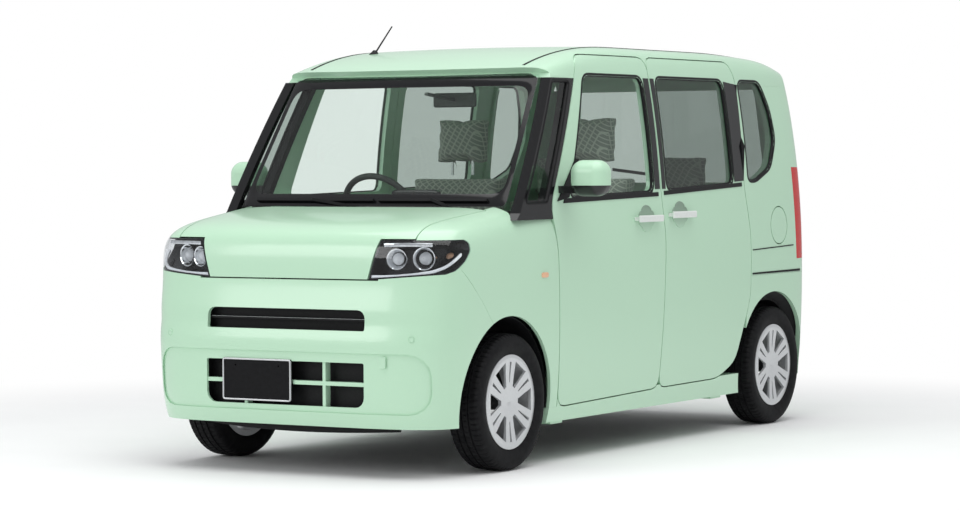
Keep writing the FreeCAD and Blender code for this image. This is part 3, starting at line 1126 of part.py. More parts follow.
for middle in [size.seat_x, -size.seat_x]:
    low = middle - size.seat_wide / 2
    high = middle + size.seat_wide / 2
    cushions.append(prism([
        (size.seat_front, size.seat_low), (size.seat_rear, size.seat_low),
        (size.seat_rear, size.seat_low + size.seat_thick), (size.seat_front, size.seat_low + size.seat_thick),
    ], "X", low, high))
    backs.append(prism([
        (back_y, size.seat_low + size.back_rise), (back_y + size.back_thick, size.seat_low + size.back_rise),
        (back_y + size.back_lean + size.back_top_thick, size.back_top), (back_y + size.back_lean, size.back_top),
    ], "X", low, high))
    head = prism([
        (head_y, size.head_low), (head_y + size.head_thick, size.head_low),
        (head_y + size.head_thick + size.head_lean, size.head_low + size.head_tall),
        (head_y + size.head_front_lean, size.head_low + size.head_tall),
    ], "X", middle - size.head_wide / 2, middle + size.head_wide / 2)
    for side in [1, -1]:
        head = head.fuse(Part.makeCylinder(size.post_radius, size.post_long, Vector(
            middle + side * size.post_x, size.seat_rear + size.post_set, size.back_top + size.seat_gap)))
    heads.append(head)
    bases.append(prism([
        (size.seat_front + size.base_inset, base_low), (size.seat_rear - size.base_rear_inset, base_low),
        (size.seat_rear - size.base_rear_inset, size.seat_low - size.seat_gap),
        (size.seat_front + size.base_inset, size.seat_low - size.seat_gap),
    ], "X", low + size.base_inset, high - size.base_inset))
rear_half = size.rear_seat_half
cushions.append(prism([
    (size.rear_seat_front, size.bench_low), (size.bench_step_front, size.bench_low),
    (size.bench_step_rear, size.bench_step), (size.rear_seat_rear - size.bench_rear, size.bench_step),
    (size.rear_seat_rear - size.bench_rear, size.bench_rear_top), (size.rear_seat_front, size.bench_top),
], "X", -rear_half, rear_half))
bases.append(prism([
    (size.rear_seat_front + size.bench_base_front, base_low), (size.bench_base_rear, base_low),
    (size.bench_base_rear, size.bench_low - size.seat_gap),
    (size.rear_seat_front + size.bench_base_front, size.bench_low - size.seat_gap),
], "X", -rear_half + size.bench_base_inset, rear_half - size.bench_base_inset))
bench_back_low = size.load_floor + size.floor_wall + size.seat_gap
rear_back = prism([
    (bench_back_y, bench_back_low), (size.rear_seat_rear + size.bench_back_foot, bench_back_low),
    (size.rear_seat_rear + size.bench_back_foot + size.bench_back_lean, size.bench_back_top),
    (size.rear_seat_rear + size.bench_back_head, size.bench_back_top),
], "X", -rear_half, rear_half)
for sign in [1, -1]:
    rear_back = rear_back.cut(Part.makeCylinder(
        size.house_radius + size.house_gap, side_high,
        Vector(sign * (size.wheel_house_inner - size.house_gap), rear_axle_y, size.tyre_radius), Vector(sign, 0, 0)))
backs.append(rear_back)
for middle in [size.seat_x, -size.seat_x]:
    heads.append(prism([
        (size.rear_seat_rear + size.rear_head_set, size.bench_back_top + size.seat_gap),
        (size.rear_seat_rear + size.rear_head_set + size.rear_head_thick, size.bench_back_top + size.seat_gap),
        (size.rear_seat_rear + size.rear_head_rear, size.rear_head_top),
        (size.rear_seat_rear + size.rear_head_front, size.rear_head_top),
    ], "X", middle - size.head_wide / 2, middle + size.head_wide / 2))
formed("seat_cushions", Part.makeCompound(cushions))
formed("seat_backs", Part.makeCompound(backs))
formed("headrests", Part.makeCompound(heads))
formed("seat_bases", Part.makeCompound(bases))

# Outside fittings: door mirrors, grille bars, number plates
sizes({
    "mirror_in": 780, "mirror_out": 945, "mirror_front": 765, "mirror_rear": 640, "mirror_low": 1105,
    "mirror_top": 1255, "mirror_round": 54, "mirror_foot_long": 90, "mirror_foot_deep": 60, "mirror_foot_tall": 30,
    "mirror_foot_x": 719, "mirror_foot_set": 30, "mirror_foot_z": 1118, "mirror_cut_front": -860,
    "mirror_cut_rear": -500, "mirror_cut_low": 1060, "mirror_cut_high": 1200, "mirror_cut_deep": 120,
})
mirror = Part.makeBox(size.mirror_out - size.mirror_in, size.mirror_front - size.mirror_rear,
                      size.mirror_top - size.mirror_low, Vector(size.mirror_in, -size.mirror_front, size.mirror_low))
mirror = mirror.makeFillet(size.mirror_round, mirror.Edges)
foot = Part.makeBox(size.mirror_foot_long, size.mirror_foot_deep, size.mirror_foot_tall,
                    Vector(size.mirror_foot_x, -size.mirror_front + size.mirror_foot_set, size.mirror_foot_z))
foot = foot.cut(skin_wall(side_rays(size.mirror_cut_front, size.mirror_cut_rear, 5, size.mirror_cut_low,
                                    size.mirror_cut_high, 5), size.mirror_cut_deep, "belt"))
mirror = mirror.fuse(foot)
formed("mirror_left", mirror)
formed("mirror_right", mirrored(mirror))

# Black backing behind both openings of the nose, with a bar, and the body-coloured bars of the lower one
sizes({
    "backing_side": 20, "backing_hollow": 10, "backing_deep": 60, "backing_hollow_deep": 40, "backing_set": 24,
    "grille_bar_deep": 46, "grille_bar_set": 26, "grille_bar_rise": 38, "behind_deep": 100, "bars_behind_deep": 60,
    "bars_behind": 4, "lower_bar_z": 366, "lower_bar_tall": 16, "lower_bar_deep": 34, "lower_bar_set": 14,
    "lower_post_x": 190, "lower_post_wide": 14,
})
backing_tall = size.grille_top - size.intake_low
backing = Part.makeBox(2 * (size.grille_half + size.backing_side), size.backing_deep,
                       backing_tall + 2 * size.backing_side,
                       Vector(-size.grille_half - size.backing_side, nose_y + size.backing_set,
                              size.intake_low - size.backing_side))
backing = backing.cut(Part.makeBox(
    2 * (size.grille_half + size.backing_hollow), size.backing_hollow_deep, backing_tall + 2 * size.backing_hollow,
    Vector(-size.grille_half - size.backing_hollow, nose_y + size.backing_set, size.intake_low - size.backing_hollow)))
grille_bar = Part.makeBox(2 * (size.grille_half + size.backing_hollow), size.grille_bar_deep, size.grille_bar,
                          Vector(-size.grille_half - size.backing_hollow, nose_y + size.grille_bar_set,
                                 size.grille_low + size.grille_bar_rise))
behind = skin_wall(nose_rays, size.behind_deep, "hood", size.bumper_wall + size.seat_gap, (1, 1, 0))
formed("grille", backing.fuse(grille_bar).common(behind))
bars_rays = plan_rays(nose_path, -1, size.skin_bottom + size.patch_reach, size.hood_base, 8)
behind_bars = skin_wall(bars_rays, size.bars_behind_deep, "hood", size.bars_behind, (1, 1, 0))
intake_bars = Part.makeBox(2 * size.intake_half, size.lower_bar_deep, size.lower_bar_tall,
                           Vector(-size.intake_half, nose_y + size.lower_bar_set, size.lower_bar_z))
for side in [1, -1]:
    intake_bars = intake_bars.fuse(Part.makeBox(
        size.lower_post_wide, size.lower_bar_deep, size.intake_top - size.intake_low,
        Vector(side * size.lower_post_x - size.lower_post_wide / 2, nose_y + size.lower_bar_set, size.intake_low)))

# Number plates, blank, each held by two bolts
sizes({
    "plate_wide": 330, "plate_high": 165, "plate_wall": 12, "rear_plate_z": 800,
    "plate_hole_x": 105, "plate_hole_drop": 26, "plate_hole_radius": 3.5, "plate_stand": 2,
    "intake_bay_wide": 340, "intake_bay_tall": 175, "intake_bay_deep": 400, "intake_bay_front": 354,
})


def plate_shape(x, front, z):
    """A number plate standing across the car, with its two bolt holes."""
    plate = Part.makeBox(size.plate_wide, size.plate_wall, size.plate_high,
                         Vector(x - size.plate_wide / 2, front, z - size.plate_high / 2))
    for side in [1, -1]:
        hole = Part.makeCylinder(size.plate_hole_radius, side_high,
                                 Vector(x + side * size.plate_hole_x, -side_high / 2 + front, z + size.plate_high / 2
                                        - size.plate_hole_drop), Vector(0, 1, 0))
        plate = plate.cut(hole)
    return plate


formed("front_plate", plate_shape(size.plate_x, nose_y + size.plate_stand, size.front_plate_z))
formed("rear_plate", plate_shape(0, tail_y - size.plate_bay_depth + size.seat_gap, size.rear_plate_z))
intake_bay = Part.makeBox(size.intake_bay_wide, size.intake_bay_deep, size.intake_bay_tall,
                          Vector(size.plate_x - size.intake_bay_wide / 2, nose_y - size.intake_bay_front,
                                 size.front_plate_z - size.intake_bay_tall / 2))
formed("intake_bars", intake_bars.cut(intake_bay).common(behind_bars))


def bar(start, end, wide, tall):
    """A straight bar of oblong section between two points."""
    line = end - start
    shape = Part.makeBox(wide, tall, line.Length, Vector(-wide / 2, -tall / 2, 0))
    shape.Placement = Placement(start, Rotation(Vector(0, 0, 1), line))
    return shape


# Under the car: front crossmember with lower arms, exhaust and fuel tank
sizes({
    "member_half": 340, "member_front": 1190, "member_rear": 1040, "member_low": 178, "member_gap": 0.3,
    "lower_arm_start": 280, "lower_arm_end": 556, "lower_arm_radius": 17, "lower_arm_z": 205,
    "rail_x": 300, "rail_wide": 60, "rail_long": 300, "rail_tall": 50, "rail_front": 1060, "rail_rise": 4,
    "rail_half": 500, "pipe_radius": 22, "pipe_z": 187, "pipe_x": 120, "pipe_start": -800, "pipe_end": 1290,
    "riser_run": 150, "riser_rise": 143, "muffler_radius": 78, "muffler_half": 260, "muffler_y": 1500,
    "muffler_z": 330, "hanger_wide": 40, "front_hanger_wide": 30, "tail_pipe_x": -200, "tail_pipe_long": 165,
    "tail_pipe_drop": 30, "tank_half": 430, "tank_front": 935, "tank_rear": 1130, "tank_low": 262,
})
engine_foot = size.engine_low - size.member_gap
member = Part.makeBox(2 * size.member_half, size.member_front - size.member_rear, engine_foot - size.member_low,
                      Vector(-size.member_half, -size.member_front, size.member_low))
rail_room = Part.makeBox(2 * size.rail_half, size.rail_long, size.floor_low - size.seat_gap - size.member_low,
                         Vector(-size.rail_half, -size.rail_front, size.member_low))
for side in [1, -1]:
    arm = Part.makeCylinder(size.lower_arm_radius, size.lower_arm_end - size.lower_arm_start,
                            Vector(side * size.lower_arm_start, front_axle_y, size.lower_arm_z), Vector(side, 0, 0))
    rail = Part.makeBox(size.rail_wide, size.rail_long, size.rail_tall,
                        Vector(side * size.rail_x - size.rail_wide / 2, -size.rail_front,
                               size.member_low + size.rail_rise))
    member = member.fuse([arm, rail.common(rail_room)])
formed("front_subframe", member)
pipe_end = Vector(size.pipe_x, size.pipe_end, size.pipe_z)
pipe = Part.makeCylinder(size.pipe_radius, size.pipe_end - size.pipe_start,
                         Vector(size.pipe_x, size.pipe_start, size.pipe_z), Vector(0, 1, 0))
riser = along_line(pipe_end, Vector(0, size.riser_run, size.riser_rise), 0, 1, size.pipe_radius)
joint = Part.makeSphere(size.pipe_radius, pipe_end)
muffler = Part.makeCylinder(size.muffler_radius, 2 * size.muffler_half,
                            Vector(-size.muffler_half, size.muffler_y, size.muffler_z), Vector(1, 0, 0))
hanger = Part.makeBox(size.hanger_wide, size.hanger_wide, size.load_floor - size.seat_gap - size.muffler_z,
                      Vector(-size.hanger_wide / 2, size.muffler_y - size.hanger_wide / 2, size.muffler_z))
tail_pipe = Part.makeCylinder(size.pipe_radius, size.tail_pipe_long,
                              Vector(size.tail_pipe_x, size.muffler_y, size.muffler_z - size.tail_pipe_drop),
                              Vector(0, 1, 0))
front_hanger = Part.makeBox(size.front_hanger_wide, size.front_hanger_wide,
                            size.floor_low - size.seat_gap - size.pipe_z,
                            Vector(size.pipe_x - size.front_hanger_wide / 2, 0, size.pipe_z))
formed("exhaust", pipe.fuse([riser, joint, muffler, hanger, tail_pipe, front_hanger]))
listed(box("fuel_tank", "2 * sizes.tank_half", "sizes.tank_rear - sizes.tank_front",
           "sizes.load_floor - sizes.seat_gap - sizes.tank_low", "-sizes.tank_half", "sizes.tank_front",
           "sizes.tank_low"))

# Liners inside the front arches
sizes({"liner_low": 578, "liner_high": 700, "liner_wall": 5, "liner_foot": 234})
liners = []
for side in [1, -1]:
    base = Vector(side * size.liner_low, front_axle_y - size.front_arch_shift, size.tyre_radius)
    turn = Vector(side, 0, 0)
    long = size.liner_high - size.liner_low
    liner = Part.makeCylinder(size.arch_radius - size.seat_gap, long, base, turn)
    liner = liner.cut(Part.makeCylinder(size.arch_radius - size.seat_gap - size.liner_wall, long, base, turn))
    liners.append(liner.common(Part.makeBox(2 * side_high, size.overall_length, size.overall_height,
                                            Vector(-side_high, nose_y, size.liner_foot))))
formed("wheel_houses", Part.makeCompound(liners + house_shapes))

# Outside trim: wipers, aerial, handles, inner mirror
sizes({
    "wiper_foot_reach": 1102, "wiper_foot_height": 16, "wiper_post": 7, "wiper_lift": 4, "wiper_deep": 17,
    "wiper_arm_lift": 19, "wiper_arm_wide": 12, "wiper_arm_tall": 7,
    "aerial_x": -430, "aerial_y": -350, "aerial_z": 1728, "aerial_long": 195, "aerial_run": 150, "aerial_rise": 132,
    "aerial_low_radius": 4, "aerial_top_radius": 3, "aerial_foot_radius": 26, "aerial_foot_top": 9,
    "aerial_foot_tall": 24, "aerial_foot_sink": 6, "aerial_cut_front": -500, "aerial_cut_rear": -200,
})
WIPER_SHARES = [(-0.86, 0.06, 0.02), (0.10, 0.86, 0.74)]
blade_low_share = 0.035
blade_high_share = 0.055
arm_share = (blade_low_share + blade_high_share) / 2
wipers = []
for start, end, pivot in WIPER_SHARES:
    faces = [patch([[shield_point(across, up, -depth) for up in spread(blade_low_share, blade_high_share, 4)]
                    for across in spread(start, end, 5)]) for depth in [size.wiper_deep, size.wiper_lift]]
    blade = walled(*faces)
    foot = Vector(pivot * size.cowl_half, -size.wiper_foot_reach, size.cowl_top + size.wiper_foot_height)
    arm = bar(foot, shield_point((start + end) / 2, arm_share, -size.wiper_arm_lift), size.wiper_arm_wide,
              size.wiper_arm_tall)
    post = Part.makeCylinder(size.wiper_post, size.wiper_foot_height,
                             foot - Vector(0, 0, size.wiper_foot_height - size.seat_gap))
    wipers.append(blade.fuse([arm, post]))
formed("wipers", Part.makeCompound(wipers))
aerial_foot = Vector(size.aerial_x, size.aerial_y, size.aerial_z)
aerial_lean = Vector(0, size.aerial_run, size.aerial_rise)
foot_lean_share = 0.3
aerial = Part.makeCone(size.aerial_low_radius, size.aerial_top_radius, size.aerial_long, aerial_foot, aerial_lean)
aerial = aerial.fuse(Part.makeCone(size.aerial_foot_radius, size.aerial_foot_top, size.aerial_foot_tall,
                                   aerial_foot - Vector(0, 0, size.aerial_foot_sink), Vector(0, foot_lean_share, 1)))
aerial_rays = section_rays(roof_path, size.aerial_cut_front, size.aerial_cut_rear, 5)
aerial = aerial.cut(skin_wall(aerial_rays, size.overrun, "cabin", -size.seat_gap, (1, 0, 1)))
formed("aerial", max(aerial.Solids, key=lambda solid: solid.Volume))
sizes({
    "handle_out": 18, "handle_wall": 13, "handle_tall": 30, "handle_round": 6, "handle_foot_long": 34,
    "handle_foot_inset": 4, "handle_foot_drop": 7, "front_handle_start": -82, "front_handle_end": 140,
    "front_handle_z": 998, "slide_handle_start": 236, "slide_handle_end": 460, "slide_handle_z": 1010,
    "inner_mirror_wide": 210, "inner_mirror_deep": 26, "inner_mirror_tall": 62, "inner_mirror_x": 5,
    "inner_mirror_y": -560, "inner_mirror_z": 1484, "inner_mirror_round": 10, "inner_stem_wide": 16,
    "inner_stem_tall": 12,
})


def handle(y_low, y_high, z):
    """A pull handle that stands off the door on two feet."""
    reach = side_width(z)
    grip = Part.makeBox(size.handle_wall, y_high - y_low, size.handle_tall,
                        Vector(reach + size.handle_out, y_low, z - size.handle_tall / 2))
    grip = grip.makeFillet(size.handle_round, grip.Edges)
    first_foot = y_low + size.handle_foot_inset
    last_foot = y_high - size.handle_foot_inset - size.handle_foot_long
    feet = [Part.makeBox(size.handle_out + size.handle_foot_inset, size.handle_foot_long,
                         size.handle_tall - 2 * size.handle_foot_drop,
                         Vector(reach + size.seat_gap, y, z - size.handle_tall / 2 + size.handle_foot_drop))
            for y in [first_foot, last_foot]]
    door_skin = skin_wall(side_rays(y_low - size.overrun, y_high + size.overrun, 5, z - size.overrun,
                                    z + size.overrun, 5), size.overrun, "cabin")
    return grip.fuse(feet).cut(door_skin)


front_handle = handle(size.front_handle_start, size.front_handle_end, size.front_handle_z)
formed("handle_front_left", front_handle)
formed("handle_front_right", mirrored(front_handle))
slide_handle = handle(size.slide_handle_start, size.slide_handle_end, size.slide_handle_z)
formed("slide_handles", Part.makeCompound([slide_handle, mirrored(slide_handle)]))
inner = Part.makeBox(size.inner_mirror_wide, size.inner_mirror_deep, size.inner_mirror_tall,
                     Vector(size.inner_mirror_x, size.inner_mirror_y, size.inner_mirror_z))
inner = inner.makeFillet(size.inner_mirror_round, inner.Edges)
stem_foot = Vector(size.inner_mirror_x + size.inner_mirror_wide / 2, size.inner_mirror_y + size.inner_mirror_deep / 2,
                   size.inner_mirror_z + size.inner_mirror_tall / 2)
stem_across_share = 0.17
stem_up_share = 0.87
stem_top = shield_point(stem_across_share, stem_up_share, size.shield_glass + size.seat_gap)
inner = inner.fuse(bar(stem_foot, stem_top, size.inner_stem_wide, size.inner_stem_tall))
formed("inner_mirror", inner.cut(shield_space_back))

# Check every object before anything is written
doc.recompute()
for item in doc.Objects:
    if "Invalid" in item.State or "Error" in item.State:
        raise ValueError("object %s didn't compute" % item.Name)
for part in nodes:
    if part.Shape.isNull() or not part.Shape.isValid():
        raise ValueError("sub-part %s has no valid shape" % part.Label)
os.makedirs("parts", exist_ok=True)
for part in nodes:
    part.Shape.exportStep("parts/%s.step" % part.Label)
print("wrote", len(nodes), "sub-parts")
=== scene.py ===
# %% [markdown]
# A tall, box-shaped small car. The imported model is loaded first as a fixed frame: every node keeps its
# place, and this script only dresses it with finishes and with the fine pieces that a solid model
# leaves out.

# %% Load the frame
import math

import bmesh
import bpy
import numpy as np
from mathutils import Matrix, Vector
from mathutils.bvhtree import BVHTree


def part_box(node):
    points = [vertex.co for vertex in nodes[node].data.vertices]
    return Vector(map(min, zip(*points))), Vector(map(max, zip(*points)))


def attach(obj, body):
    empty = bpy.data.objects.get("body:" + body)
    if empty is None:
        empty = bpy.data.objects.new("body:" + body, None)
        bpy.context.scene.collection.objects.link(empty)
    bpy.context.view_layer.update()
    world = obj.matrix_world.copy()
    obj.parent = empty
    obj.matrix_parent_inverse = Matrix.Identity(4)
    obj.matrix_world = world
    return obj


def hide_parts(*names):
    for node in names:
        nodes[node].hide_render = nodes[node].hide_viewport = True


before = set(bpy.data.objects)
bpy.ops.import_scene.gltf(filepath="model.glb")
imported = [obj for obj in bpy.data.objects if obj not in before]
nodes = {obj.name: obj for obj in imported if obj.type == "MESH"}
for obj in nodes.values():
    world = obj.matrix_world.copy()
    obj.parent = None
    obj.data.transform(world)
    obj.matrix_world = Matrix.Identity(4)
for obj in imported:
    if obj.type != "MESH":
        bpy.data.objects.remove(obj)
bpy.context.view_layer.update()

MM = 0.001
SIDES = [("left", 1), ("right", -1)]

# %% [markdown]
# Every new piece is a surface: a grid of points worked out with numpy, joined into four-sided faces.
# A grid can close on itself in either direction, as a tyre does in both.

# %% Turn a grid of points into a mesh


def surface(name, points, wrap_rows=False, wrap_columns=False):
    """A mesh whose vertices are a grid of points and whose faces join neighbours in the grid."""
    points = np.asarray(points, float)
    rows, columns = points.shape[:2]
    index = np.arange(rows * columns).reshape(rows, columns)
    row, column = np.meshgrid(np.arange(rows if wrap_rows else rows - 1),
                              np.arange(columns if wrap_columns else columns - 1), indexing="ij")
    row_after, column_after = (row + 1) % rows, (column + 1) % columns
    faces = np.stack([index[row, column], index[row_after, column], index[row_after, column_after],
                      index[row, column_after]], axis=-1).reshape(-1, 4)
    mesh = bpy.data.meshes.new(name)
    mesh.from_pydata(points.reshape(-1, 3).tolist(), [], faces.tolist())
    mesh.validate()
    piece = bpy.data.objects.new(name, mesh)
    bpy.context.scene.collection.objects.link(piece)
    return piece


def joined(name, pieces):
    """One object that holds the meshes of several."""
    mesh = bpy.data.meshes.new(name)
    work = bmesh.new()
    for piece in pieces:
        work.from_mesh(piece.data)
    bmesh.ops.remove_doubles(work, verts=work.verts, dist=1e-6)
    bmesh.ops.recalc_face_normals(work, faces=work.faces)
    work.to_mesh(mesh)
    work.free()
    for piece in pieces:
        bpy.data.objects.remove(piece)
    whole = bpy.data.objects.new(name, mesh)
    bpy.context.scene.collection.objects.link(whole)
    return whole


def finished(piece, body, material, crease=0.7):
    """Smooth shading with sharp creases, a finish, a body to ride on and a material slot."""
    work = bmesh.new()
    work.from_mesh(piece.data)
    bmesh.ops.remove_doubles(work, verts=work.verts, dist=1e-6)
    bmesh.ops.recalc_face_normals(work, faces=work.faces)
    work.to_mesh(piece.data)
    work.free()
    piece.data.shade_smooth()
    piece.data.set_sharp_from_angle(angle=crease)
    piece.data.materials.clear()
    piece.data.materials.append(material)
    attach(piece, body)
    print(piece.name, len(piece.data.polygons), "faces on", body)
    return piece


def both_sides(points):
    """The grid and its mirror image on the other side of the car."""
    return [points, points * np.array([-1.0, 1.0, 1.0])]

# %% [markdown]
# Finishes are node trees. Most share one plan: a noise that shifts the colour a little, so that no
# surface is one flat value, and a finer noise that feeds a bump for grain, orange peel or weave.

# %% Helpers for node trees


class Tree:
    """A node tree under construction; end is its output node."""

    def __init__(self, tree, end):
        self.tree = tree
        self.end = tree.nodes[end]

    def node(self, kind, **settings):
        """A new node with some of its properties and inputs set."""
        made = self.tree.nodes.new(kind)
        for key, value in settings.items():
            if key in made.inputs:
                made.inputs[key].default_value = value
            else:
                setattr(made, key, value)
        return made

    def link(self, start, end):
        """Joins an output socket to an input socket."""
        self.tree.links.new(start, end)

    def calculated(self, operation, *terms):
        """The outcome of a math node; each term is a number or a socket."""
        made = self.node("ShaderNodeMath", operation=operation)
        for place, term in zip(made.inputs, terms):
            if isinstance(term, (int, float)):
                place.default_value = term
            else:
                self.link(term, place)
        return made.outputs[0]

    def mixed(self, factor, first, second):
        """A blend of two shaders as the tree's surface."""
        mix = self.node("ShaderNodeMixShader")
        for start, end in zip([factor, first, second], mix.inputs):
            self.link(start, end)
        self.link(mix.outputs["Shader"], self.end.inputs["Surface"])


class Finish(Tree):
    """A material under construction, with short names for the nodes that finishes use."""

    def __init__(self, name):
        self.material = bpy.data.materials.new(name)
        self.material.use_nodes = True
        super().__init__(self.material.node_tree, "Material Output")
        self.shader = self.tree.nodes["Principled BSDF"]
        self.place = self.node("ShaderNodeTexCoord")

    def noise(self, scale, detail=2.0):
        """Noise over the piece's own coordinates; scale is features per metre."""
        made = self.node("ShaderNodeTexNoise", Scale=scale, Detail=detail)
        self.link(self.place.outputs["Object"], made.inputs["Vector"])
        return made.outputs["Fac"]

    def height(self):
        """The Z of the piece's own coordinates."""
        parts = self.node("ShaderNodeSeparateXYZ")
        self.link(self.place.outputs["Object"], parts.inputs[0])
        return parts.outputs["Z"]

    def shades(self, factor, dark, light, low=0.3, high=0.7):
        """A colour that runs from dark to light as the factor rises."""
        ramp = self.node("ShaderNodeValToRGB")
        ramp.color_ramp.elements[0].position = low
        ramp.color_ramp.elements[1].position = high
        ramp.color_ramp.elements[0].color = (*dark, 1)
        ramp.color_ramp.elements[1].color = (*light, 1)
        self.link(factor, ramp.inputs["Fac"])
        return ramp.outputs["Color"]

    def bump(self, height, strength, distance):
        """Relief from a height, in metres."""
        made = self.node("ShaderNodeBump", Strength=strength, Distance=distance)
        self.link(height, made.inputs["Height"])
        self.link(made.outputs["Normal"], self.shader.inputs["Normal"])

    def colour(self, socket):
        """The shader's colour from a socket."""
        self.link(socket, self.shader.inputs["Base Color"])

    def set(self, **values):
        """Plain values on the shader's own sockets."""
        for key, value in values.items():
            self.shader.inputs[key.replace("_", " ")].default_value = value
        return self


def linear(red, green, blue):
    """Screen colour values, from 11 to 255, as linear light."""
    return tuple(((value / 255 + 0.055) / 1.055) ** 2.4 for value in (red, green, blue))


def tinted(colour, by):
    """The colour made lighter or darker by a factor."""
    return tuple(min(part * by, 1) for part in colour)

# %% [markdown]
# The paint is a pale mint with a clear coat. Under the coat a very fine noise stands in for the pearl
# flakes, and a coarser one gives the surface a faint bump.

# %% Body paint
MINT = linear(185, 222, 193)


def body_paint():
    """Mint with pearl flakes under a clear coat."""
    finish = Finish("mint_paint")
    flakes = finish.noise(900, 1)
    finish.colour(finish.shades(flakes, tinted(MINT, 0.97), tinted(MINT, 1.03)))
    finish.set(Roughness=0.34, Coat_Weight=0.6, Coat_Roughness=0.12, Specular_IOR_Level=0.5)
    finish.bump(finish.noise(260, 1), 0.03, 0.0004)
    return finish.material


PAINT = body_paint()

# %% [markdown]
# Glass is thin, so it needs no bending of light: a tinted see-through shader is mixed with a mirror
# one. The mirror part grows where the eye grazes the pane, by Schlick's formula, and only the side that
# faces the eye has it. The rear windows are darker.

# %% Glass


def pane_glass(name, tint, mirror=0.04):
    """See-through with a tint, and a mirror part that follows the angle of view."""
    finish = Finish(name)
    finish.colour(finish.shades(finish.noise(3, 1), tinted(tint, 0.9), tint))
    finish.set(Roughness=0.02, Specular_IOR_Level=0.6)
    clear = finish.node("ShaderNodeBsdfTransparent", Color=(*tint, 1))
    gloss = finish.node("ShaderNodeBsdfGlossy", Color=(1, 1, 1, 1), Roughness=0.015)
    angle = finish.node("ShaderNodeLayerWeight", Blend=0.5)
    side = finish.node("ShaderNodeNewGeometry")
    grazing = finish.calculated("POWER", angle.outputs["Facing"], 5.0)
    share = finish.calculated("MULTIPLY_ADD", grazing, 1.0 - mirror, mirror)
    front = finish.calculated("SUBTRACT", 1.0, side.outputs["Backfacing"])
    seen = finish.calculated("MULTIPLY", share, front)
    finish.mixed(seen, clear.outputs["BSDF"], gloss.outputs["BSDF"])
    return finish.material


CLEAR_GLASS = pane_glass("clear_green_glass", (0.925, 0.955, 0.94))
DARK_GLASS = pane_glass("privacy_glass", (0.64, 0.68, 0.66))
LAMP_GLASS = pane_glass("lamp_cover", (0.93, 0.94, 0.95))

# %% [markdown]
# Plastics, plain rubber and metals differ in gloss, grain and evenness. One function makes them all. The
# lenses, the tyres, the cloth and the two-tone mirror have functions of their own.

# %% Plastics, rubber and metals
PATCH_TO_GRAIN = 12
MIRROR_PARTING = 1.150


def grained(name, colour, roughness, grain, depth, coat=0.0, metal=0.0, shine=0.5, uneven=0.16):
    """A moulded or painted surface with fine grain."""
    finish = Finish(name)
    patches = finish.noise(grain / PATCH_TO_GRAIN, 3)
    finish.colour(finish.shades(patches, tinted(colour, 1 - uneven), tinted(colour, 1 + uneven)))
    finish.set(Roughness=roughness, Coat_Weight=coat, Coat_Roughness=0.06, Metallic=metal,
               Specular_IOR_Level=shine)
    finish.bump(finish.noise(grain, 2), 0.25, depth)
    return finish.material


TRIM_BLACK = grained("grained_black_plastic", (0.009, 0.009, 0.010), 0.55, 1500, 0.0002, shine=0.2)
GLOSS_BLACK = grained("gloss_black", (0.005, 0.005, 0.006), 0.15, 600, 0.00005, coat=0.25, shine=0.25)
SEAL_RUBBER = grained("seal_rubber", (0.007, 0.007, 0.008), 0.45, 900, 0.0001, shine=0.2)
UNDERBODY = grained("underbody_coating", (0.020, 0.020, 0.021), 0.8, 300, 0.001)
CAST = grained("cast_parts", (0.045, 0.045, 0.048), 0.6, 400, 0.0006, metal=0.6)
STEEL = grained("exhaust_steel", (0.30, 0.29, 0.28), 0.38, 500, 0.0003, metal=1.0)
COVER_SILVER = grained("silver_cover_paint", linear(205, 207, 209), 0.28, 1200, 0.00008, coat=0.6,
                       metal=0.35, uneven=0.03)
CABIN_DARK = grained("cabin_plastic", linear(66, 71, 68), 0.6, 1300, 0.0003)
CHROME = grained("bright_reflector", (0.82, 0.83, 0.84), 0.08, 500, 0.00005, metal=1.0)
AMBER = grained("amber_lens", (0.80, 0.46, 0.28), 0.2, 500, 0.0002, coat=0.3)
HANDLE_SILVER = grained("handle_silver", linear(226, 230, 227), 0.3, 1200, 0.00005, coat=0.4, uneven=0.03)
LAMP_WHITE = grained("lamp_white", (0.90, 0.92, 0.94), 0.2, 500, 0.0002, coat=0.5, uneven=0.03)
PLATE_DARK = grained("blank_plate", (0.008, 0.008, 0.009), 0.5, 700, 0.0001, shine=0.1)
PLATE_PALE = grained("blank_pale_plate", linear(226, 226, 220), 0.35, 700, 0.00002, coat=0.2, uneven=0.02)


def red_lens():
    """Red lamp glass with upright ribs, from a band pattern across the lens."""
    finish = Finish("red_lamp_lens")
    ribs = finish.node("ShaderNodeTexWave", Scale=60.0, bands_direction="Z", Distortion=0.0)
    finish.link(finish.place.outputs["Object"], ribs.inputs["Vector"])
    finish.colour(finish.shades(ribs.outputs["Fac"], (0.42, 0.010, 0.010), (0.70, 0.020, 0.016)))
    finish.set(Roughness=0.25, Coat_Weight=0.1, Coat_Roughness=0.1, Specular_IOR_Level=0.3)
    finish.bump(ribs.outputs["Fac"], 0.3, 0.0006)
    return finish.material


def tyre_rubber():
    """Black rubber, a little dusty, with fine moulding lines."""
    finish = Finish("tyre_rubber")
    finish.colour(finish.shades(finish.noise(40, 4), (0.005, 0.005, 0.006), (0.012, 0.012, 0.013)))
    finish.set(Roughness=0.66, Specular_IOR_Level=0.15)
    finish.bump(finish.noise(1500, 2), 0.3, 0.0003)
    return finish.material


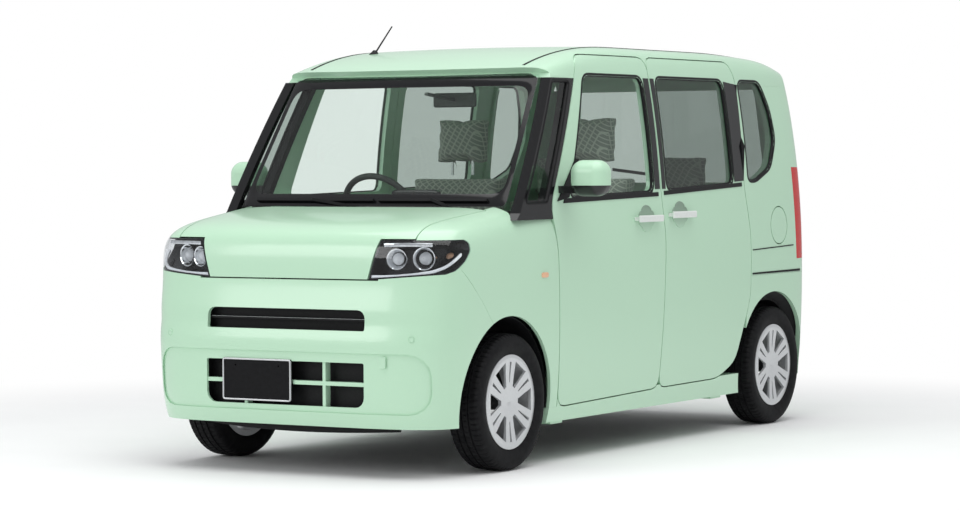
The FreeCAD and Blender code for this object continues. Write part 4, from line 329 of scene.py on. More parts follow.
def lattice_cloth():
    """Woven cloth with a diagonal lattice: two crossed sets of bands over a fine weave."""
    finish = Finish("lattice_seat_cloth")
    bands = []
    for turn in [45, -45]:
        angles = tuple(math.radians(angle) for angle in (90 - turn, turn, turn))
        spin = finish.node("ShaderNodeMapping", Rotation=angles)
        wave = finish.node("ShaderNodeTexWave", Scale=18.0, Distortion=0.0, bands_direction="X")
        finish.link(finish.place.outputs["Object"], spin.inputs["Vector"])
        finish.link(spin.outputs["Vector"], wave.inputs["Vector"])
        bands.append(wave.outputs["Fac"])
    both = finish.calculated("MAXIMUM", *bands)
    finish.colour(finish.shades(both, linear(140, 147, 139), linear(190, 195, 184), 0.80, 0.95))
    finish.set(Roughness=0.9, Sheen_Weight=0.25)
    finish.bump(finish.noise(1600, 2), 0.5, 0.0006)
    return finish.material


def mirror_paint():
    """Mint over black: the head's lower third and its foot are bare plastic, parted at one height."""
    finish = Finish("two_tone_mirror")
    upper = finish.calculated("GREATER_THAN", finish.height(), MIRROR_PARTING)
    blend = finish.node("ShaderNodeMix", data_type="RGBA")
    finish.link(upper, blend.inputs["Factor"])
    flakes = finish.noise(900, 1)
    finish.link(finish.shades(flakes, (0.010, 0.010, 0.011), (0.014, 0.014, 0.015)), blend.inputs[6])
    finish.link(finish.shades(flakes, tinted(MINT, 0.97), tinted(MINT, 1.03)), blend.inputs[7])
    finish.colour(blend.outputs[2])
    finish.set(Roughness=0.34, Coat_Weight=0.3, Coat_Roughness=0.05, Specular_IOR_Level=0.35)
    finish.bump(finish.noise(260, 1), 0.03, 0.0004)
    return finish.material


MIRROR_PAINT = mirror_paint()
RED_LENS = red_lens()
RUBBER = tyre_rubber()
CLOTH = lattice_cloth()

# %% [markdown]
# Carried-over nodes get their finish by name: the first rule with a word that is in the node's name wins,
# and all others are painted.

# %% Dress the nodes
RULES = [
    (CABIN_DARK, ["inner_mirror", "steering_wheel", "steering_column", "dashboard", "seat_bases"]),
    (LAMP_GLASS, ["headlamp_lenses"]),
    (GLOSS_BLACK, ["headlamp_bowls", "front_pillars"]),
    (RED_LENS, ["tail_lamps"]),
    (CLEAR_GLASS, ["front_door_glass", "windshield"]),
    (DARK_GLASS, ["side_glasses", "tailgate_glass"]),
    (RUBBER, ["tyre_"]),
    (TRIM_BLACK, ["wheel_houses", "grille", "cowl", "wipers", "aerial"]),
    (COVER_SILVER, ["wheel_"]),
    (HANDLE_SILVER, ["handle"]),
    (UNDERBODY, ["floor_pan", "firewall", "fuel_tank"]),
    (CAST, ["knuckle", "rear_axle", "front_subframe", "engine"]),
    (STEEL, ["exhaust"]),
    (MIRROR_PAINT, ["mirror_"]),
    (CLOTH, ["seat_", "headrests"]),
    (PLATE_DARK, ["front_plate"]),
    (PLATE_PALE, ["rear_plate"]),
]
for name, node in nodes.items():
    chosen = next((material for material, words in RULES if any(word in name for word in words)), PAINT)
    node.data.materials.clear()
    node.data.materials.append(chosen)
print("dressed", len(nodes), "nodes")

# %% [markdown]
# A tyre is a profile turned round the axle, given in millimetres. Its points lie close where the grooves
# run, and cross grooves part the blocks of the tread, so the radius also depends on the angle.

# %% Tyres with tread
TREAD_RADIUS = 278.5
TREAD_HALF = 56
CROWN = 2.6
GROOVE_PLACES = np.array([-30.0, 0.0, 30.0]) * MM
GROOVE_HALF = 3.5 * MM
GROOVE_DEPTH = 6.5 * MM
SHOULDER_BLOCKS = 37 * MM
CENTRE_BLOCKS = (6 * MM, 24 * MM)
TREAD_FROM = 270 * MM
PITCHES = 72
STEPS_PER_PITCH = 5
WALL = [(58, 178.3), (60, 186), (64, 194), (70, 206), (75.5, 222), (77.4, 236), (76.6, 248), (73.5, 259),
        (70, 265.5), (66, 270.5), (62, 273.6), (58, 275.6)]


def tyre_profile():
    """(offset, radius) from one bead over the tread to the other; the tread is a shallow arch."""
    tread = np.linspace(TREAD_HALF, -TREAD_HALF, 57)
    arch = TREAD_RADIUS - CROWN * (tread / TREAD_HALF) ** 2
    outer = WALL + list(zip(tread, arch)) + [(-offset, radius) for offset, radius in reversed(WALL)]
    return np.array(outer) * MM


def tyre_grid(centre):
    """Rows go round the axle and columns along the profile; grooves lower the radius."""
    profile = tyre_profile()
    angle = np.linspace(0, 2 * np.pi, PITCHES * STEPS_PER_PITCH, endpoint=False)
    step = np.arange(len(angle)) % STEPS_PER_PITCH
    offset = profile[:, 0][None, :].repeat(len(angle), 0)
    radius = profile[:, 1][None, :].repeat(len(angle), 0)
    for place in GROOVE_PLACES:
        radius = radius - GROOVE_DEPTH * (np.abs(offset - place) < GROOVE_HALF)
    outer = (np.abs(offset) > SHOULDER_BLOCKS) & (radius > TREAD_FROM)
    radius = radius - GROOVE_DEPTH * 0.8 * (outer & (step[:, None] == 0))
    middle = (np.abs(offset) > CENTRE_BLOCKS[0]) & (np.abs(offset) < CENTRE_BLOCKS[1])
    radius = radius - GROOVE_DEPTH * 0.6 * (middle & (step[:, None] == 2))
    return np.stack([centre.x + offset, centre.y + radius * np.cos(angle)[:, None],
                     centre.z + radius * np.sin(angle)[:, None]], axis=-1)


for name in [name for name in nodes if name.startswith("tyre_")]:
    low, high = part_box(name)
    tyre = surface(name + "_tread", tyre_grid((low + high) / 2), wrap_rows=True, wrap_columns=True)
    finished(tyre, "road_wheel" + name[4:], RUBBER, crease=0.9)
    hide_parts(name)

# %% [markdown]
# Thin pieces lie on the car's skin. A ray cast from outside finds the skin's place, and the piece is
# then lifted by a few millimetres at most, so it follows every curve of the panel.

# %% Rays that find the skin
SIDE_START = 1.2
END_START = 3.0
skins = {}


def hit(node_names, start, direction):
    """Where a ray first meets one of the named nodes."""
    best = None
    for name in node_names:
        if name not in skins:
            skins[name] = BVHTree.FromPolygons([v.co.copy() for v in nodes[name].data.vertices],
                                               [tuple(p.vertices) for p in nodes[name].data.polygons])
        found = skins[name].ray_cast(Vector(start), Vector(direction))
        if found[0] is not None and (best is None or found[3] < best[3]):
            best = found
    return best


def from_side(names, y, z):
    """The meeting of a level ray from the car's left with the skin, or None."""
    return hit(names, (SIDE_START, y, z), (-1, 0, 0))


def from_front(names, x, z):
    """Y of the skin met by a level ray from the front."""
    return hit(names, (x, -END_START, z), (0, 1, 0))[0].y


def from_rear(names, x, z):
    """Y of the skin met by a level ray from behind."""
    return hit(names, (x, END_START, z), (0, -1, 0))[0].y


def rounded_loop(corners, radius, count):
    """Points evenly spaced along a closed outline whose corners are turned into arcs."""
    corners = np.asarray(corners, float)
    before, after = np.roll(corners, 1, 0), np.roll(corners, -1, 0)
    parts = []
    for corner, last, following in zip(corners, before, after):
        a = (last - corner) / np.linalg.norm(last - corner)
        b = (following - corner) / np.linalg.norm(following - corner)
        reach = min(radius, 0.4 * np.linalg.norm(last - corner), 0.4 * np.linalg.norm(following - corner))
        share = np.linspace(0, 1, 7)[:, None]
        parts.append((1 - share) ** 2 * (corner + a * reach) + 2 * share * (1 - share) * corner
                     + share ** 2 * (corner + b * reach))
    path = np.vstack(parts + [parts[0][:1]])
    along = np.r_[0, np.cumsum(np.linalg.norm(np.diff(path, axis=0), axis=1))]
    even = np.linspace(0, along[-1], count, endpoint=False)
    return np.stack([np.interp(even, along, path[:, 0]), np.interp(even, along, path[:, 1])], axis=1)


def outward(loop):
    """Unit normals that point out of a closed loop, whichever way it runs."""
    along = np.roll(loop, -1, 0) - np.roll(loop, 1, 0)
    along /= np.linalg.norm(along, axis=1)[:, None]
    normal = np.stack([along[:, 1], -along[:, 0]], axis=1)
    area = np.sum(loop[:, 0] * np.roll(loop[:, 1], -1) - np.roll(loop[:, 0], -1) * loop[:, 1])
    return normal if area > 0 else -normal


def side_band(outline, node_names, section, radius=0.03, count=150):
    """A band round a side opening; the section lists (distance out from the edge, height over the skin)."""
    loop = rounded_loop(outline, radius, count)
    normal = outward(loop)
    grid = np.zeros((count, len(section), 3))
    for column, (out, lift) in enumerate(section):
        place = loop + normal * out
        for row, (y, z) in enumerate(place):
            skin_y, skin_z = loop[row] + normal[row] * max(out, 0.004)
            found = from_side(node_names, skin_y, skin_z)
            x = found[0].x if found else grid[row - 1, column, 0] - lift
            grid[row, column] = (x + lift, y, z)
    return grid


# %% [markdown]
# Each side window sits in a thin black rubber surround that covers the edge of its opening.

# %% Window surrounds
SEAL_SECTION = [(0.011, -0.001), (0.0108, 0.0010), (0.006, 0.0018), (0.001, 0.0012), (-0.003, -0.004),
                (-0.006, -0.010), (-0.004, -0.013), (0.004, -0.012), (0.008, -0.004)]
FRONT_WINDOW = [(-0.640, 1.100), (0.108, 1.115), (0.108, 1.615), (-0.415, 1.615)]
SLIDING_WINDOW = [(0.238, 1.120), (0.899, 1.142), (0.899, 1.615), (0.238, 1.615)]
QUARTER_WINDOW = [(1.062, 1.154), (1.140, 1.154), (1.306, 1.214), (1.382, 1.350), (1.358, 1.490),
                  (1.290, 1.615), (1.062, 1.615)]
CORNER_WINDOW = [(-1.000, 1.085), (-0.836, 1.085), (-0.548, 1.585), (-0.682, 1.585)]
for name, outline, skin_nodes, body_left, body_right in [
        ("front_window_seal", FRONT_WINDOW, ["front_door_left"], "door_left", "door_right"),
        ("sliding_window_seal", SLIDING_WINDOW, ["sliding_doors"], "shell", "shell"),
        ("quarter_window_seal", QUARTER_WINDOW, ["quarter_panels", "roof"], "shell", "shell"),
        ("corner_window_seal", CORNER_WINDOW, ["front_pillars"], "shell", "shell")]:
    band = side_band(outline, skin_nodes, SEAL_SECTION, radius=0.01 if "corner" in name else 0.045)
    for side, body, points in zip(["left", "right"], [body_left, body_right], both_sides(band)):
        seal = surface(name + "_" + side, points, wrap_rows=True, wrap_columns=True)
        finished(seal, body, SEAL_RUBBER, crease=1.2)

# %% [markdown]
# Flat trim on the side is a plate between four corners, laid on the skin by rays and closed by a
# lowered back: belt strips under the windows, garnishes beside them, the foot of the mirror, the sliding
# door's rail and a black strip of painted shadow in the gap over the rear bumper.

# %% Plates on the sides
PLATE_SUNK = 0.0015
BODY_HALF = 0.7


def border(grid):
    """The points round the edge of a grid, in order."""
    return np.vstack([grid[0, :-1], grid[:-1, -1], grid[-1, :0:-1], grid[:0:-1, 0]])


def side_plate(corners, node_names, lift, rows=28, columns=12):
    """Corners (y, z) in order; P = bilinear blend of them, pushed out of the skin by the lift."""
    corners = np.array(corners)
    u = np.linspace(0, 1, rows)[:, None, None]
    v = np.linspace(0, 1, columns)[None, :, None]
    flat = ((corners[0] * (1 - u) + corners[1] * u) * (1 - v) + (corners[3] * (1 - u) + corners[2] * u) * v)
    front = np.zeros((rows, columns, 3))
    last = None
    for row, column in np.ndindex(rows, columns):
        y, z = flat[row, column]
        found = from_side(node_names, y, z)
        last = found[0].x if found else last
        front[row, column] = (last or BODY_HALF, y, z)
    raised = front + np.array([lift, 0, 0])
    lowered = front - np.array([PLATE_SUNK, 0, 0])
    face = surface("face", raised)
    edge = surface("edge", np.stack([border(raised), border(lowered)], axis=1), wrap_rows=True)
    back = surface("back", lowered[:, ::-1])
    return [face, edge, back]


def flipped(pieces):
    """The same meshes on the other side of the car."""
    for piece in pieces:
        piece.data.transform(Matrix.Scale(-1, 4, (1, 0, 0)))
    return pieces


def paired(name, make, body, material):
    """One piece on each side of the car, joined from the meshes that make() returns."""
    for side in ["left", "right"]:
        pieces = make() if side == "left" else flipped(make())
        rides_on = body + "_" + side if body == "door" else body
        finished(joined(name + "_" + side, pieces), rides_on, material)


PLATES = [
    ("front_belt_strip", [(-0.700, 1.076), (0.150, 1.094), (0.150, 1.112), (-0.690, 1.096)],
     "front_door_left", "door", SEAL_RUBBER, 0.003),
    ("sliding_belt_strip", [(0.205, 1.098), (0.985, 1.128), (0.985, 1.146), (0.205, 1.116)],
     "sliding_doors", "shell", SEAL_RUBBER, 0.003),
    ("sliding_garnish", [(0.912, 1.150), (1.008, 1.154), (1.036, 1.600), (0.912, 1.612)],
     "sliding_doors", "shell", GLOSS_BLACK, 0.002),
    ("split_garnish", [(0.190, 1.125), (0.222, 1.125), (0.222, 1.612), (0.186, 1.612)],
     "sliding_doors", "shell", GLOSS_BLACK, 0.002),
    ("door_garnish", [(0.122, 1.125), (0.168, 1.125), (0.170, 1.612), (0.122, 1.612)],
     "front_door_left", "door", GLOSS_BLACK, 0.002),
    ("mirror_base", [(-0.752, 1.085), (-0.655, 1.100), (-0.560, 1.260), (-0.575, 1.262)],
     "front_door_left", "door", TRIM_BLACK, 0.006),
    ("slide_rail", [(1.080, 0.828), (1.522, 0.840), (1.522, 0.845), (1.080, 0.833)],
     "quarter_panels", "shell", TRIM_BLACK, 0.002),
    # Painted shadow: a black strip where the gap over the rear bumper lies in shade.
    ("bumper_shadow_gap", [(1.075, 0.716), (1.600, 0.716), (1.600, 0.727), (1.075, 0.724)],
     "quarter_panels", "shell", TRIM_BLACK, 0.002),
]
for name, corners, skin_node, body, material, lift in PLATES:
    paired(name, lambda: side_plate(corners, [skin_node], lift), body, material)

# %% [markdown]
# Between the rear wheel house and the wheel arch a flange closes the body, as the inner side panel does.
# It runs from the rim of the house to the back of the outer skin, and each end tapers to a point.

# %% Wheel house flanges
HOUSE_CENTRE = (1.3425, 0.2785)
ARCH_CENTRE = (1.3125, 0.2785)
HOUSE_RIM_X = 0.6705
HOUSE_RIM_RADIUS = 0.3130
FLANGE_RADIUS = 0.364
SKIN_DEPTH = 0.020
FLANGE_WALL = 0.002
FLANGE_TURNS = (20, 155)


def flange(count=60):
    """A closed band: house rim, arch edge, and both again a little higher."""
    turn = np.radians(np.linspace(*FLANGE_TURNS, count))
    rim = np.stack([np.full(count, HOUSE_RIM_X), HOUSE_CENTRE[0] + HOUSE_RIM_RADIUS * np.cos(turn),
                    HOUSE_CENTRE[1] + HOUSE_RIM_RADIUS * np.sin(turn)], axis=1)
    across = ARCH_CENTRE[0] + FLANGE_RADIUS * np.cos(turn)
    up = ARCH_CENTRE[1] + FLANGE_RADIUS * np.sin(turn)
    found = [from_side(["rear_bumper", "sliding_doors", "quarter_panels"], *place)
             for place in zip(across, up)]
    skin = np.array([meeting[0].x if meeting else np.nan for meeting in found])
    met = ~np.isnan(skin)
    skin = np.interp(turn, turn[met], skin[met])
    edge = np.stack([skin - SKIN_DEPTH, across, up], axis=1)
    thick = FLANGE_WALL * np.stack([np.zeros(count), np.cos(turn), np.sin(turn)], axis=1)
    grid = np.stack([rim, edge, edge + thick, rim + thick], axis=1)
    ends = [np.repeat(grid[end].mean(axis=0)[None, None], 4, axis=1) for end in (0, -1)]
    return surface("flange", np.concatenate([ends[0], grid, ends[1]]), wrap_columns=True)


paired("wheel_house_flange", lambda: [flange()], "shell", TRIM_BLACK)

# %% [markdown]
# Behind each door handle a real door has a cup with four lobes, for the fingers. Here it is a thin piece
# laid on the skin, with a raised rim and a painted shade that darkens its colour towards the top.

# %% Handle cups
CUP_HALF_LONG = 0.076
CUP_HALF_TALL = 0.058
CUP_MIDDLE = 1.004
LOBE_DEPTH = 0.16
CUP_RINGS = [(0.02, 0.0008), (0.45, 0.0008), (0.80, 0.0009), (0.93, 0.0012), (0.97, 0.0022), (1.00, 0.0022),
             (1.01, -0.0010)]


def cup_painted_shade():
    """Mint with painted shade: darkest high up in the cup, where the rim would shade it."""
    finish = Finish("mint_handle_cup")
    # Painted shade: the colour darkens with height, towards the top of the cup.
    depth = finish.node("ShaderNodeMapRange")
    depth.inputs["From Min"].default_value = CUP_MIDDLE + CUP_HALF_TALL
    depth.inputs["From Max"].default_value = CUP_MIDDLE - CUP_HALF_TALL
    finish.link(finish.height(), depth.inputs["Value"])
    finish.colour(finish.shades(depth.outputs["Result"], tinted(MINT, 0.42), tinted(MINT, 0.95), 0.1, 1.0))
    finish.set(Roughness=0.34, Coat_Weight=0.5, Coat_Roughness=0.05)
    return finish.material


def cup(node_name, y, z, count=72):
    """Rings of points inside a four-lobed outline, on the skin, with a rim that stands proud."""
    turn = np.linspace(0, 2 * math.pi, count, endpoint=False)
    reach = 1 - LOBE_DEPTH + LOBE_DEPTH * np.abs(np.cos(2 * turn)) ** 0.5
    grid = np.zeros((count, len(CUP_RINGS), 3))
    for ring, (share, height) in enumerate(CUP_RINGS):
        across = y + CUP_HALF_LONG * share * reach * np.cos(turn)
        up = z + CUP_HALF_TALL * share * reach * np.sin(turn)
        skin = [from_side([node_name], *place)[0].x for place in zip(across, up)]
        grid[:, ring] = np.stack([np.array(skin) + height, across, up], axis=1)
    return surface("cup", grid, wrap_rows=True)


# The cups' finish paints their shade, darker towards the top.
CUP_PAINTED_SHADE = cup_painted_shade()
for name, skin_node, y, z, body in [("front_cup", "front_door_left", 0.029, 0.998, "door"),
                                    ("slide_cup", "sliding_doors", 0.348, 1.010, "shell")]:
    paired(name, lambda: [cup(skin_node, y, z)], body, CUP_PAINTED_SHADE)

# %% [markdown]
# The windshield has a black printed border, widest at the bottom. It lies just in front of the pane.

# %% Windshield border
SHIELD_OUTER = [(-0.655, 1.066), (0.655, 1.066), (0.610, 1.609), (-0.610, 1.609)]
SHIELD_INNER = [(-0.628, 1.118), (0.628, 1.118), (0.590, 1.566), (-0.590, 1.566)]
BORDER_SHARES = [0, 0.02, 0.5, 0.98, 1.0]
EDGE_LIFT = 0.0004
FACE_LIFT = 0.0006


def shield_border(count=240):
    """Rings from the pane's edge inwards; each point is found on the glass by a ray from the front."""
    outer, inner = rounded_loop(SHIELD_OUTER, 0.03, count), rounded_loop(SHIELD_INNER, 0.06, count)
    grid = np.zeros((count, len(BORDER_SHARES), 3))
    for row in range(count):
        for column, share in enumerate(BORDER_SHARES):
            x, z = outer[row] * (1 - share) + inner[row] * share
            found = hit(["windshield"], (x, -2.0, z), (0, 1, 0))
            y = found[0].y if found else grid[row - 1, column, 1]
            grid[row, column] = (x, y - EDGE_LIFT - FACE_LIFT * (0 < share < 1), z)
    return grid


printed = surface("windshield_border", shield_border(), wrap_rows=True)
finished(printed, "shell", GLOSS_BLACK)

# %% [markdown]
# Behind each clear headlamp cover stand two round lamps in a dark bowl, and an amber lamp at the outer
# end.

# %% Headlamp insides


def dish(centre, facing, profile, count=48):
    """A profile of (radius, distance along the facing) turned about an axis."""
    facing = Vector(facing).normalized()
    across = facing.cross(Vector((0, 0, 1))).normalized()
    up = across.cross(facing)
    angle = np.linspace(0, 2 * np.pi, count, endpoint=False)
    radius = np.array([p[0] for p in profile])
    along = np.array([p[1] for p in profile])
    ring = (np.cos(angle)[:, None, None] * np.array(across) + np.sin(angle)[:, None, None] * np.array(up))
    return np.array(centre) + ring * radius[None, :, None] + np.array(facing) * along[None, :, None]


LAMP_CUP = [(0.001, -0.030), (0.016, -0.028), (0.030, -0.014), (0.036, 0.0), (0.040, 0.002), (0.042, -0.002),
            (0.040, -0.034), (0.001, -0.036)]
LAMP_BALL = [(0.001, 0.006), (0.012, 0.003), (0.020, -0.006), (0.023, -0.018), (0.001, -0.026)]
SIGNAL_PROFILE = [(0.001, 0.004), (0.014, 0.0), (0.020, -0.012), (0.001, -0.02)]
for side, sign in SIDES:
    cups = []
    balls = []
    for x, y, z, scale in [(0.478, -1.592, 0.868, 1.05), (0.578, -1.548, 0.870, 1.15)]:
        for made, profile in [(cups, LAMP_CUP), (balls, LAMP_BALL)]:
            points = dish((x * sign, y, z), (0.25 * sign, -1, 0), np.array(profile) * scale)
            made.append(surface("lamp", points, wrap_rows=True))
    finished(joined("headlamp_cups_" + side, cups), "shell", CHROME)
    finished(joined("headlamp_balls_" + side, balls), "shell", LAMP_WHITE)
    points = dish((0.655 * sign, -1.470, 0.872), (0.7 * sign, -1, 0), SIGNAL_PROFILE)
    amber = surface("headlamp_signal_" + side, points, wrap_rows=True)
    finished(amber, "shell", AMBER)

# %% [markdown]
# Long thin trim is a section carried along a path; small blocks are rounded by raising the functions
# of a sphere to a power.

# %% Rails and rounded blocks


def rail(name, path, section, up=(0, 0, 1)):
    """Points P + a across + b up for each (a, b) of the section; across is square to the path and to up."""
    path = np.asarray(path, float)
    along = np.gradient(path, axis=0)
    along /= np.linalg.norm(along, axis=1)[:, None]
    up = np.broadcast_to(np.asarray(up, float), path.shape)
    across = np.cross(along, up)
    across /= np.linalg.norm(across, axis=1)[:, None]
    section = np.asarray(section, float)
    grid = path[:, None] + across[:, None] * section[None, :, :1] + up[:, None] * section[None, :, 1:]
    ends = [np.broadcast_to(grid[end].mean(axis=0), grid[end].shape)[None] for end in (0, -1)]
    return surface(name, np.concatenate([ends[0], grid, ends[1]]), wrap_columns=True)


def oblong(half_wide, half_tall, count=16):
    """A rounded oblong section."""
    angle = np.linspace(0, 2 * np.pi, count, endpoint=False)
    circle = np.stack([np.cos(angle), np.sin(angle)], axis=1)
    return np.array([half_wide, half_tall]) * np.sign(circle) * np.abs(circle) ** 0.5


def block(name, centre, half, power=0.35, spin=0.0):
    """P = centre + half * sign(f) * |f| ** power, where f runs over a sphere, turned by spin about Z."""
    lat = np.linspace(-np.pi / 2, np.pi / 2, 25)[:, None]
    lon = np.linspace(0, 2 * np.pi, 40, endpoint=False)[None, :]
    ball = np.stack([np.cos(lat) * np.cos(lon), np.cos(lat) * np.sin(lon), np.sin(lat) + 0 * lon], axis=-1)
    ball[np.abs(ball) < 1e-9] = 0
    shape = np.sign(ball) * np.abs(ball) ** power * np.asarray(half)
    turn = np.array([[math.cos(spin), math.sin(spin), 0], [-math.sin(spin), math.cos(spin), 0], [0, 0, 1]])
    return surface(name, shape @ turn + np.asarray(centre), wrap_columns=True)


# %% [markdown]
# The nose carries a grey bar in the upper opening, two round sensors, the cover of the towing eye, the
# border of the plate and a black lip under the bumper.

# %% Front trim
bar_x = np.linspace(-0.374, 0.374, 40)
bar_y = np.array([from_front(["front_bumper"], x, 0.690) for x in bar_x]) + 0.020
bar_path = np.stack([bar_x, bar_y, 0 * bar_x + 0.628], axis=1)
grille_bar = rail("grille_bar", bar_path, oblong(0.006, 0.0035))
finished(grille_bar, "shell", COVER_SILVER)
SENSOR_PROFILE = [(0.0005, 0.003), (0.009, 0.0026), (0.0105, 0.0012), (0.0110, 0.0030), (0.0130, 0.0026),
                  (0.0136, -0.002), (0.0005, -0.003)]
for index, (x, z) in enumerate([(0.586, 0.556), (-0.586, 0.556)]):
    y = from_front(["front_bumper"], x, z)
    points = dish((x, y, z), (x * 0.55, -1, 0), SENSOR_PROFILE)
    finished(surface("parking_sensor_%d" % index, points, wrap_rows=True), "shell", PAINT)
cover_y = from_front(["front_bumper"], 0.457, 0.464)
cover = block("towing_eye_cover", (0.457, cover_y + 0.001, 0.464), (0.026, 0.003, 0.023), 0.18, spin=-0.22)
finished(cover, "shell", PAINT)
plate_low, plate_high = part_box("front_plate")
plate_corners = [(plate_low.x, plate_low.z), (plate_high.x, plate_low.z), (plate_high.x, plate_high.z),
                 (plate_low.x, plate_high.z)]
plate_loop = rounded_loop(plate_corners, 0.008, 120)
frame_out = outward(plate_loop)
FRAME_SECTION = [(0.002, 0.002), (0.002, -0.0035), (-0.001, -0.0048), (-0.004, -0.0035), (-0.004, -0.0006)]
frame_grid = np.zeros((len(plate_loop), len(FRAME_SECTION), 3))
for column, (out, lift) in enumerate(FRAME_SECTION):
    frame_grid[:, column, [0, 2]] = plate_loop + frame_out * out
    frame_grid[:, column, 1] = plate_low.y + lift
plate_frame = surface("plate_border", frame_grid, wrap_rows=True, wrap_columns=True)
finished(plate_frame, "shell", COVER_SILVER)
lip_x = np.linspace(-0.50, 0.44, 40)
lip_path = np.stack([lip_x, -1.560 + 0.25 * lip_x ** 2, 0.190 + 0.06 * lip_x ** 2], axis=1)
lip = rail("under_bumper_lip", lip_path, oblong(0.008, 0.026))
finished(lip, "shell", TRIM_BLACK)

# %% [markdown]
# Along the lower and outer edge of each headlamp runs a bright light guide, just behind the cover, and a
# chrome strip runs along the top. A small side signal sits on each wing.

# %% Light guides and side signals
GUIDE_ROUTE = [(0.398, 0.800), (0.450, 0.800), (0.520, 0.803), (0.590, 0.810), (0.650, 0.820), (0.688, 0.838),
               (0.708, 0.862), (0.717, 0.885)]
BROW_ROUTE = [(0.450, 0.925), (0.520, 0.926), (0.590, 0.926), (0.640, 0.925)]


def guide_path(route, depth, count=48):
    """A smooth route of (x, z) on the cover, moved back by a depth."""
    route = np.array(route)
    along = np.r_[0, np.cumsum(np.linalg.norm(np.diff(route, axis=0), axis=1))]
    even = np.linspace(0, along[-1], count)
    x, z = (np.interp(even, along, route[:, axis]) for axis in (0, 1))
    smooth = np.array([(px - depth * 0.35, from_front(["headlamp_lenses"], px, pz) + depth, pz)
                       for px, pz in zip(x, z)])
    for turn in range(3):
        smooth[1:-1] = (smooth[:-2] + 2 * smooth[1:-1] + smooth[2:]) / 4
    return smooth


for side, sign in SIDES:
    for name, route, half_tall, material in [("light_guide_", GUIDE_ROUTE, 0.0065, LAMP_WHITE),
                                             ("brow_strip_", BROW_ROUTE, 0.0080, CHROME)]:
        path = guide_path(route, 0.013) * np.array([sign, 1, 1])
        guide = rail(name + side, path, oblong(0.006, half_tall))
        finished(guide, "shell", material)
    wing = hit(["front_wings"], (SIDE_START * sign, -0.871, 0.784), (-sign, 0, 0))[0]
    signal = block("side_signal_" + side, (wing.x, -0.871, 0.784), (0.006, 0.027, 0.011), 0.5)
    finished(signal, "shell", AMBER)

# %% [markdown]
# Black mouldings lie in the two seams of the roof.

# %% Roof mouldings
seam_y = np.linspace(-0.690, 1.500, 90)
for side, sign in SIDES:
    seam_x = sign * (0.535 + 0.022 * np.sin(np.clip((seam_y + 0.690) / 2.19, 0, 1) * np.pi))
    seam_z = np.array([hit(["roof"], (x, y, END_START), (0, 0, -1))[0].z for x, y in zip(seam_x, seam_y)])
    seam = np.stack([seam_x, seam_y, seam_z], axis=1)
    moulding = rail("roof_moulding_" + side, seam, oblong(0.0065, 0.0022))
    finished(moulding, "shell", TRIM_BLACK)

# %% [markdown]
# The tail: a high brake lamp, a wiper on the rear pane, a release bar over the plate and two reflectors.

# %% Tail trim
brake_y = from_rear(["tailgate"], 0.0, 1.650)
brake_lamp = block("high_brake_lamp", (0, brake_y + 0.002, 1.650), (0.150, 0.008, 0.011), 0.3)
finished(brake_lamp, "rear_gate", RED_LENS)
release_y = from_rear(["tailgate"], 0.0, 0.940)
release = block("gate_release", (0, release_y + 0.004, 0.938), (0.215, 0.012, 0.020), 0.25)
finished(release, "rear_gate", PAINT)
wiper_x = np.linspace(0.0, -0.330, 30)
wiper_z = np.linspace(1.165, 1.205, 30)
wiper_y = np.array([from_rear(["tailgate_glass"], x, z) for x, z in zip(wiper_x, wiper_z)]) + 0.010
wiper_path = np.stack([wiper_x, wiper_y, wiper_z], axis=1)
rear_wiper = rail("rear_wiper_blade", wiper_path, oblong(0.006, 0.008))
hub_y = from_rear(["tailgate"], 0.0, 1.118)
rear_hub = block("rear_wiper_hub", (0, hub_y + 0.006, 1.128), (0.026, 0.014, 0.022), 0.6)
arm_path = [(0, hub_y + 0.014, 1.128), (-0.06, wiper_y[5] + 0.006, 1.160),
            (-0.165, wiper_y[15] + 0.004, 1.186)]
rear_arm = rail("rear_wiper_arm", arm_path, oblong(0.005, 0.007))
finished(joined("rear_wiper", [rear_wiper, rear_hub, rear_arm]), "rear_gate", TRIM_BLACK)
for side, sign in SIDES:
    y = from_rear(["rear_bumper"], 0.60 * sign, 0.40)
    reflector = block("rear_reflector_" + side, (0.60 * sign, y + 0.001, 0.40), (0.050, 0.005, 0.014), 0.3,
                      spin=-0.18 * sign)
    finished(reflector, "shell", RED_LENS)

# %% [markdown]
# In the cabin a hood shades the instruments, a screen stands in the middle of the dashboard, and vents
# sit at its ends.

# %% Dashboard
hood = block("instrument_hood", (-0.330, -0.745, 1.058), (0.180, 0.090, 0.034), 0.45)
finished(hood, "shell", CABIN_DARK)
screen = block("dash_screen", (0.0, -0.690, 1.070), (0.120, 0.014, 0.062), 0.22)
finished(screen, "shell", GLOSS_BLACK)
for side, sign in SIDES:
    vent = block("dash_vent_" + side, (0.520 * sign, -0.672, 0.985), (0.058, 0.022, 0.034), 0.3)
    finished(vent, "shell", GLOSS_BLACK)

# %% [markdown]
# Seats are stuffed by cloth simulation. Each solid of the frame gives the starting form: it is drawn in
# a little, remeshed evenly, blown up with the movement capped, and then the seams are pressed in.

# %% Seats
VOXEL = 0.009
SWELL = 0.018
PRESSURE = 4.0
SIM_FRAMES = 20
SEAM_WIDTH = 0.007
SEAM_DEPTH = 0.009
SMALL = 0.08
BENCH_WIDE = 0.9
BENCH_SEAM_X = 0.33
SEAM_SHARE = 0.62


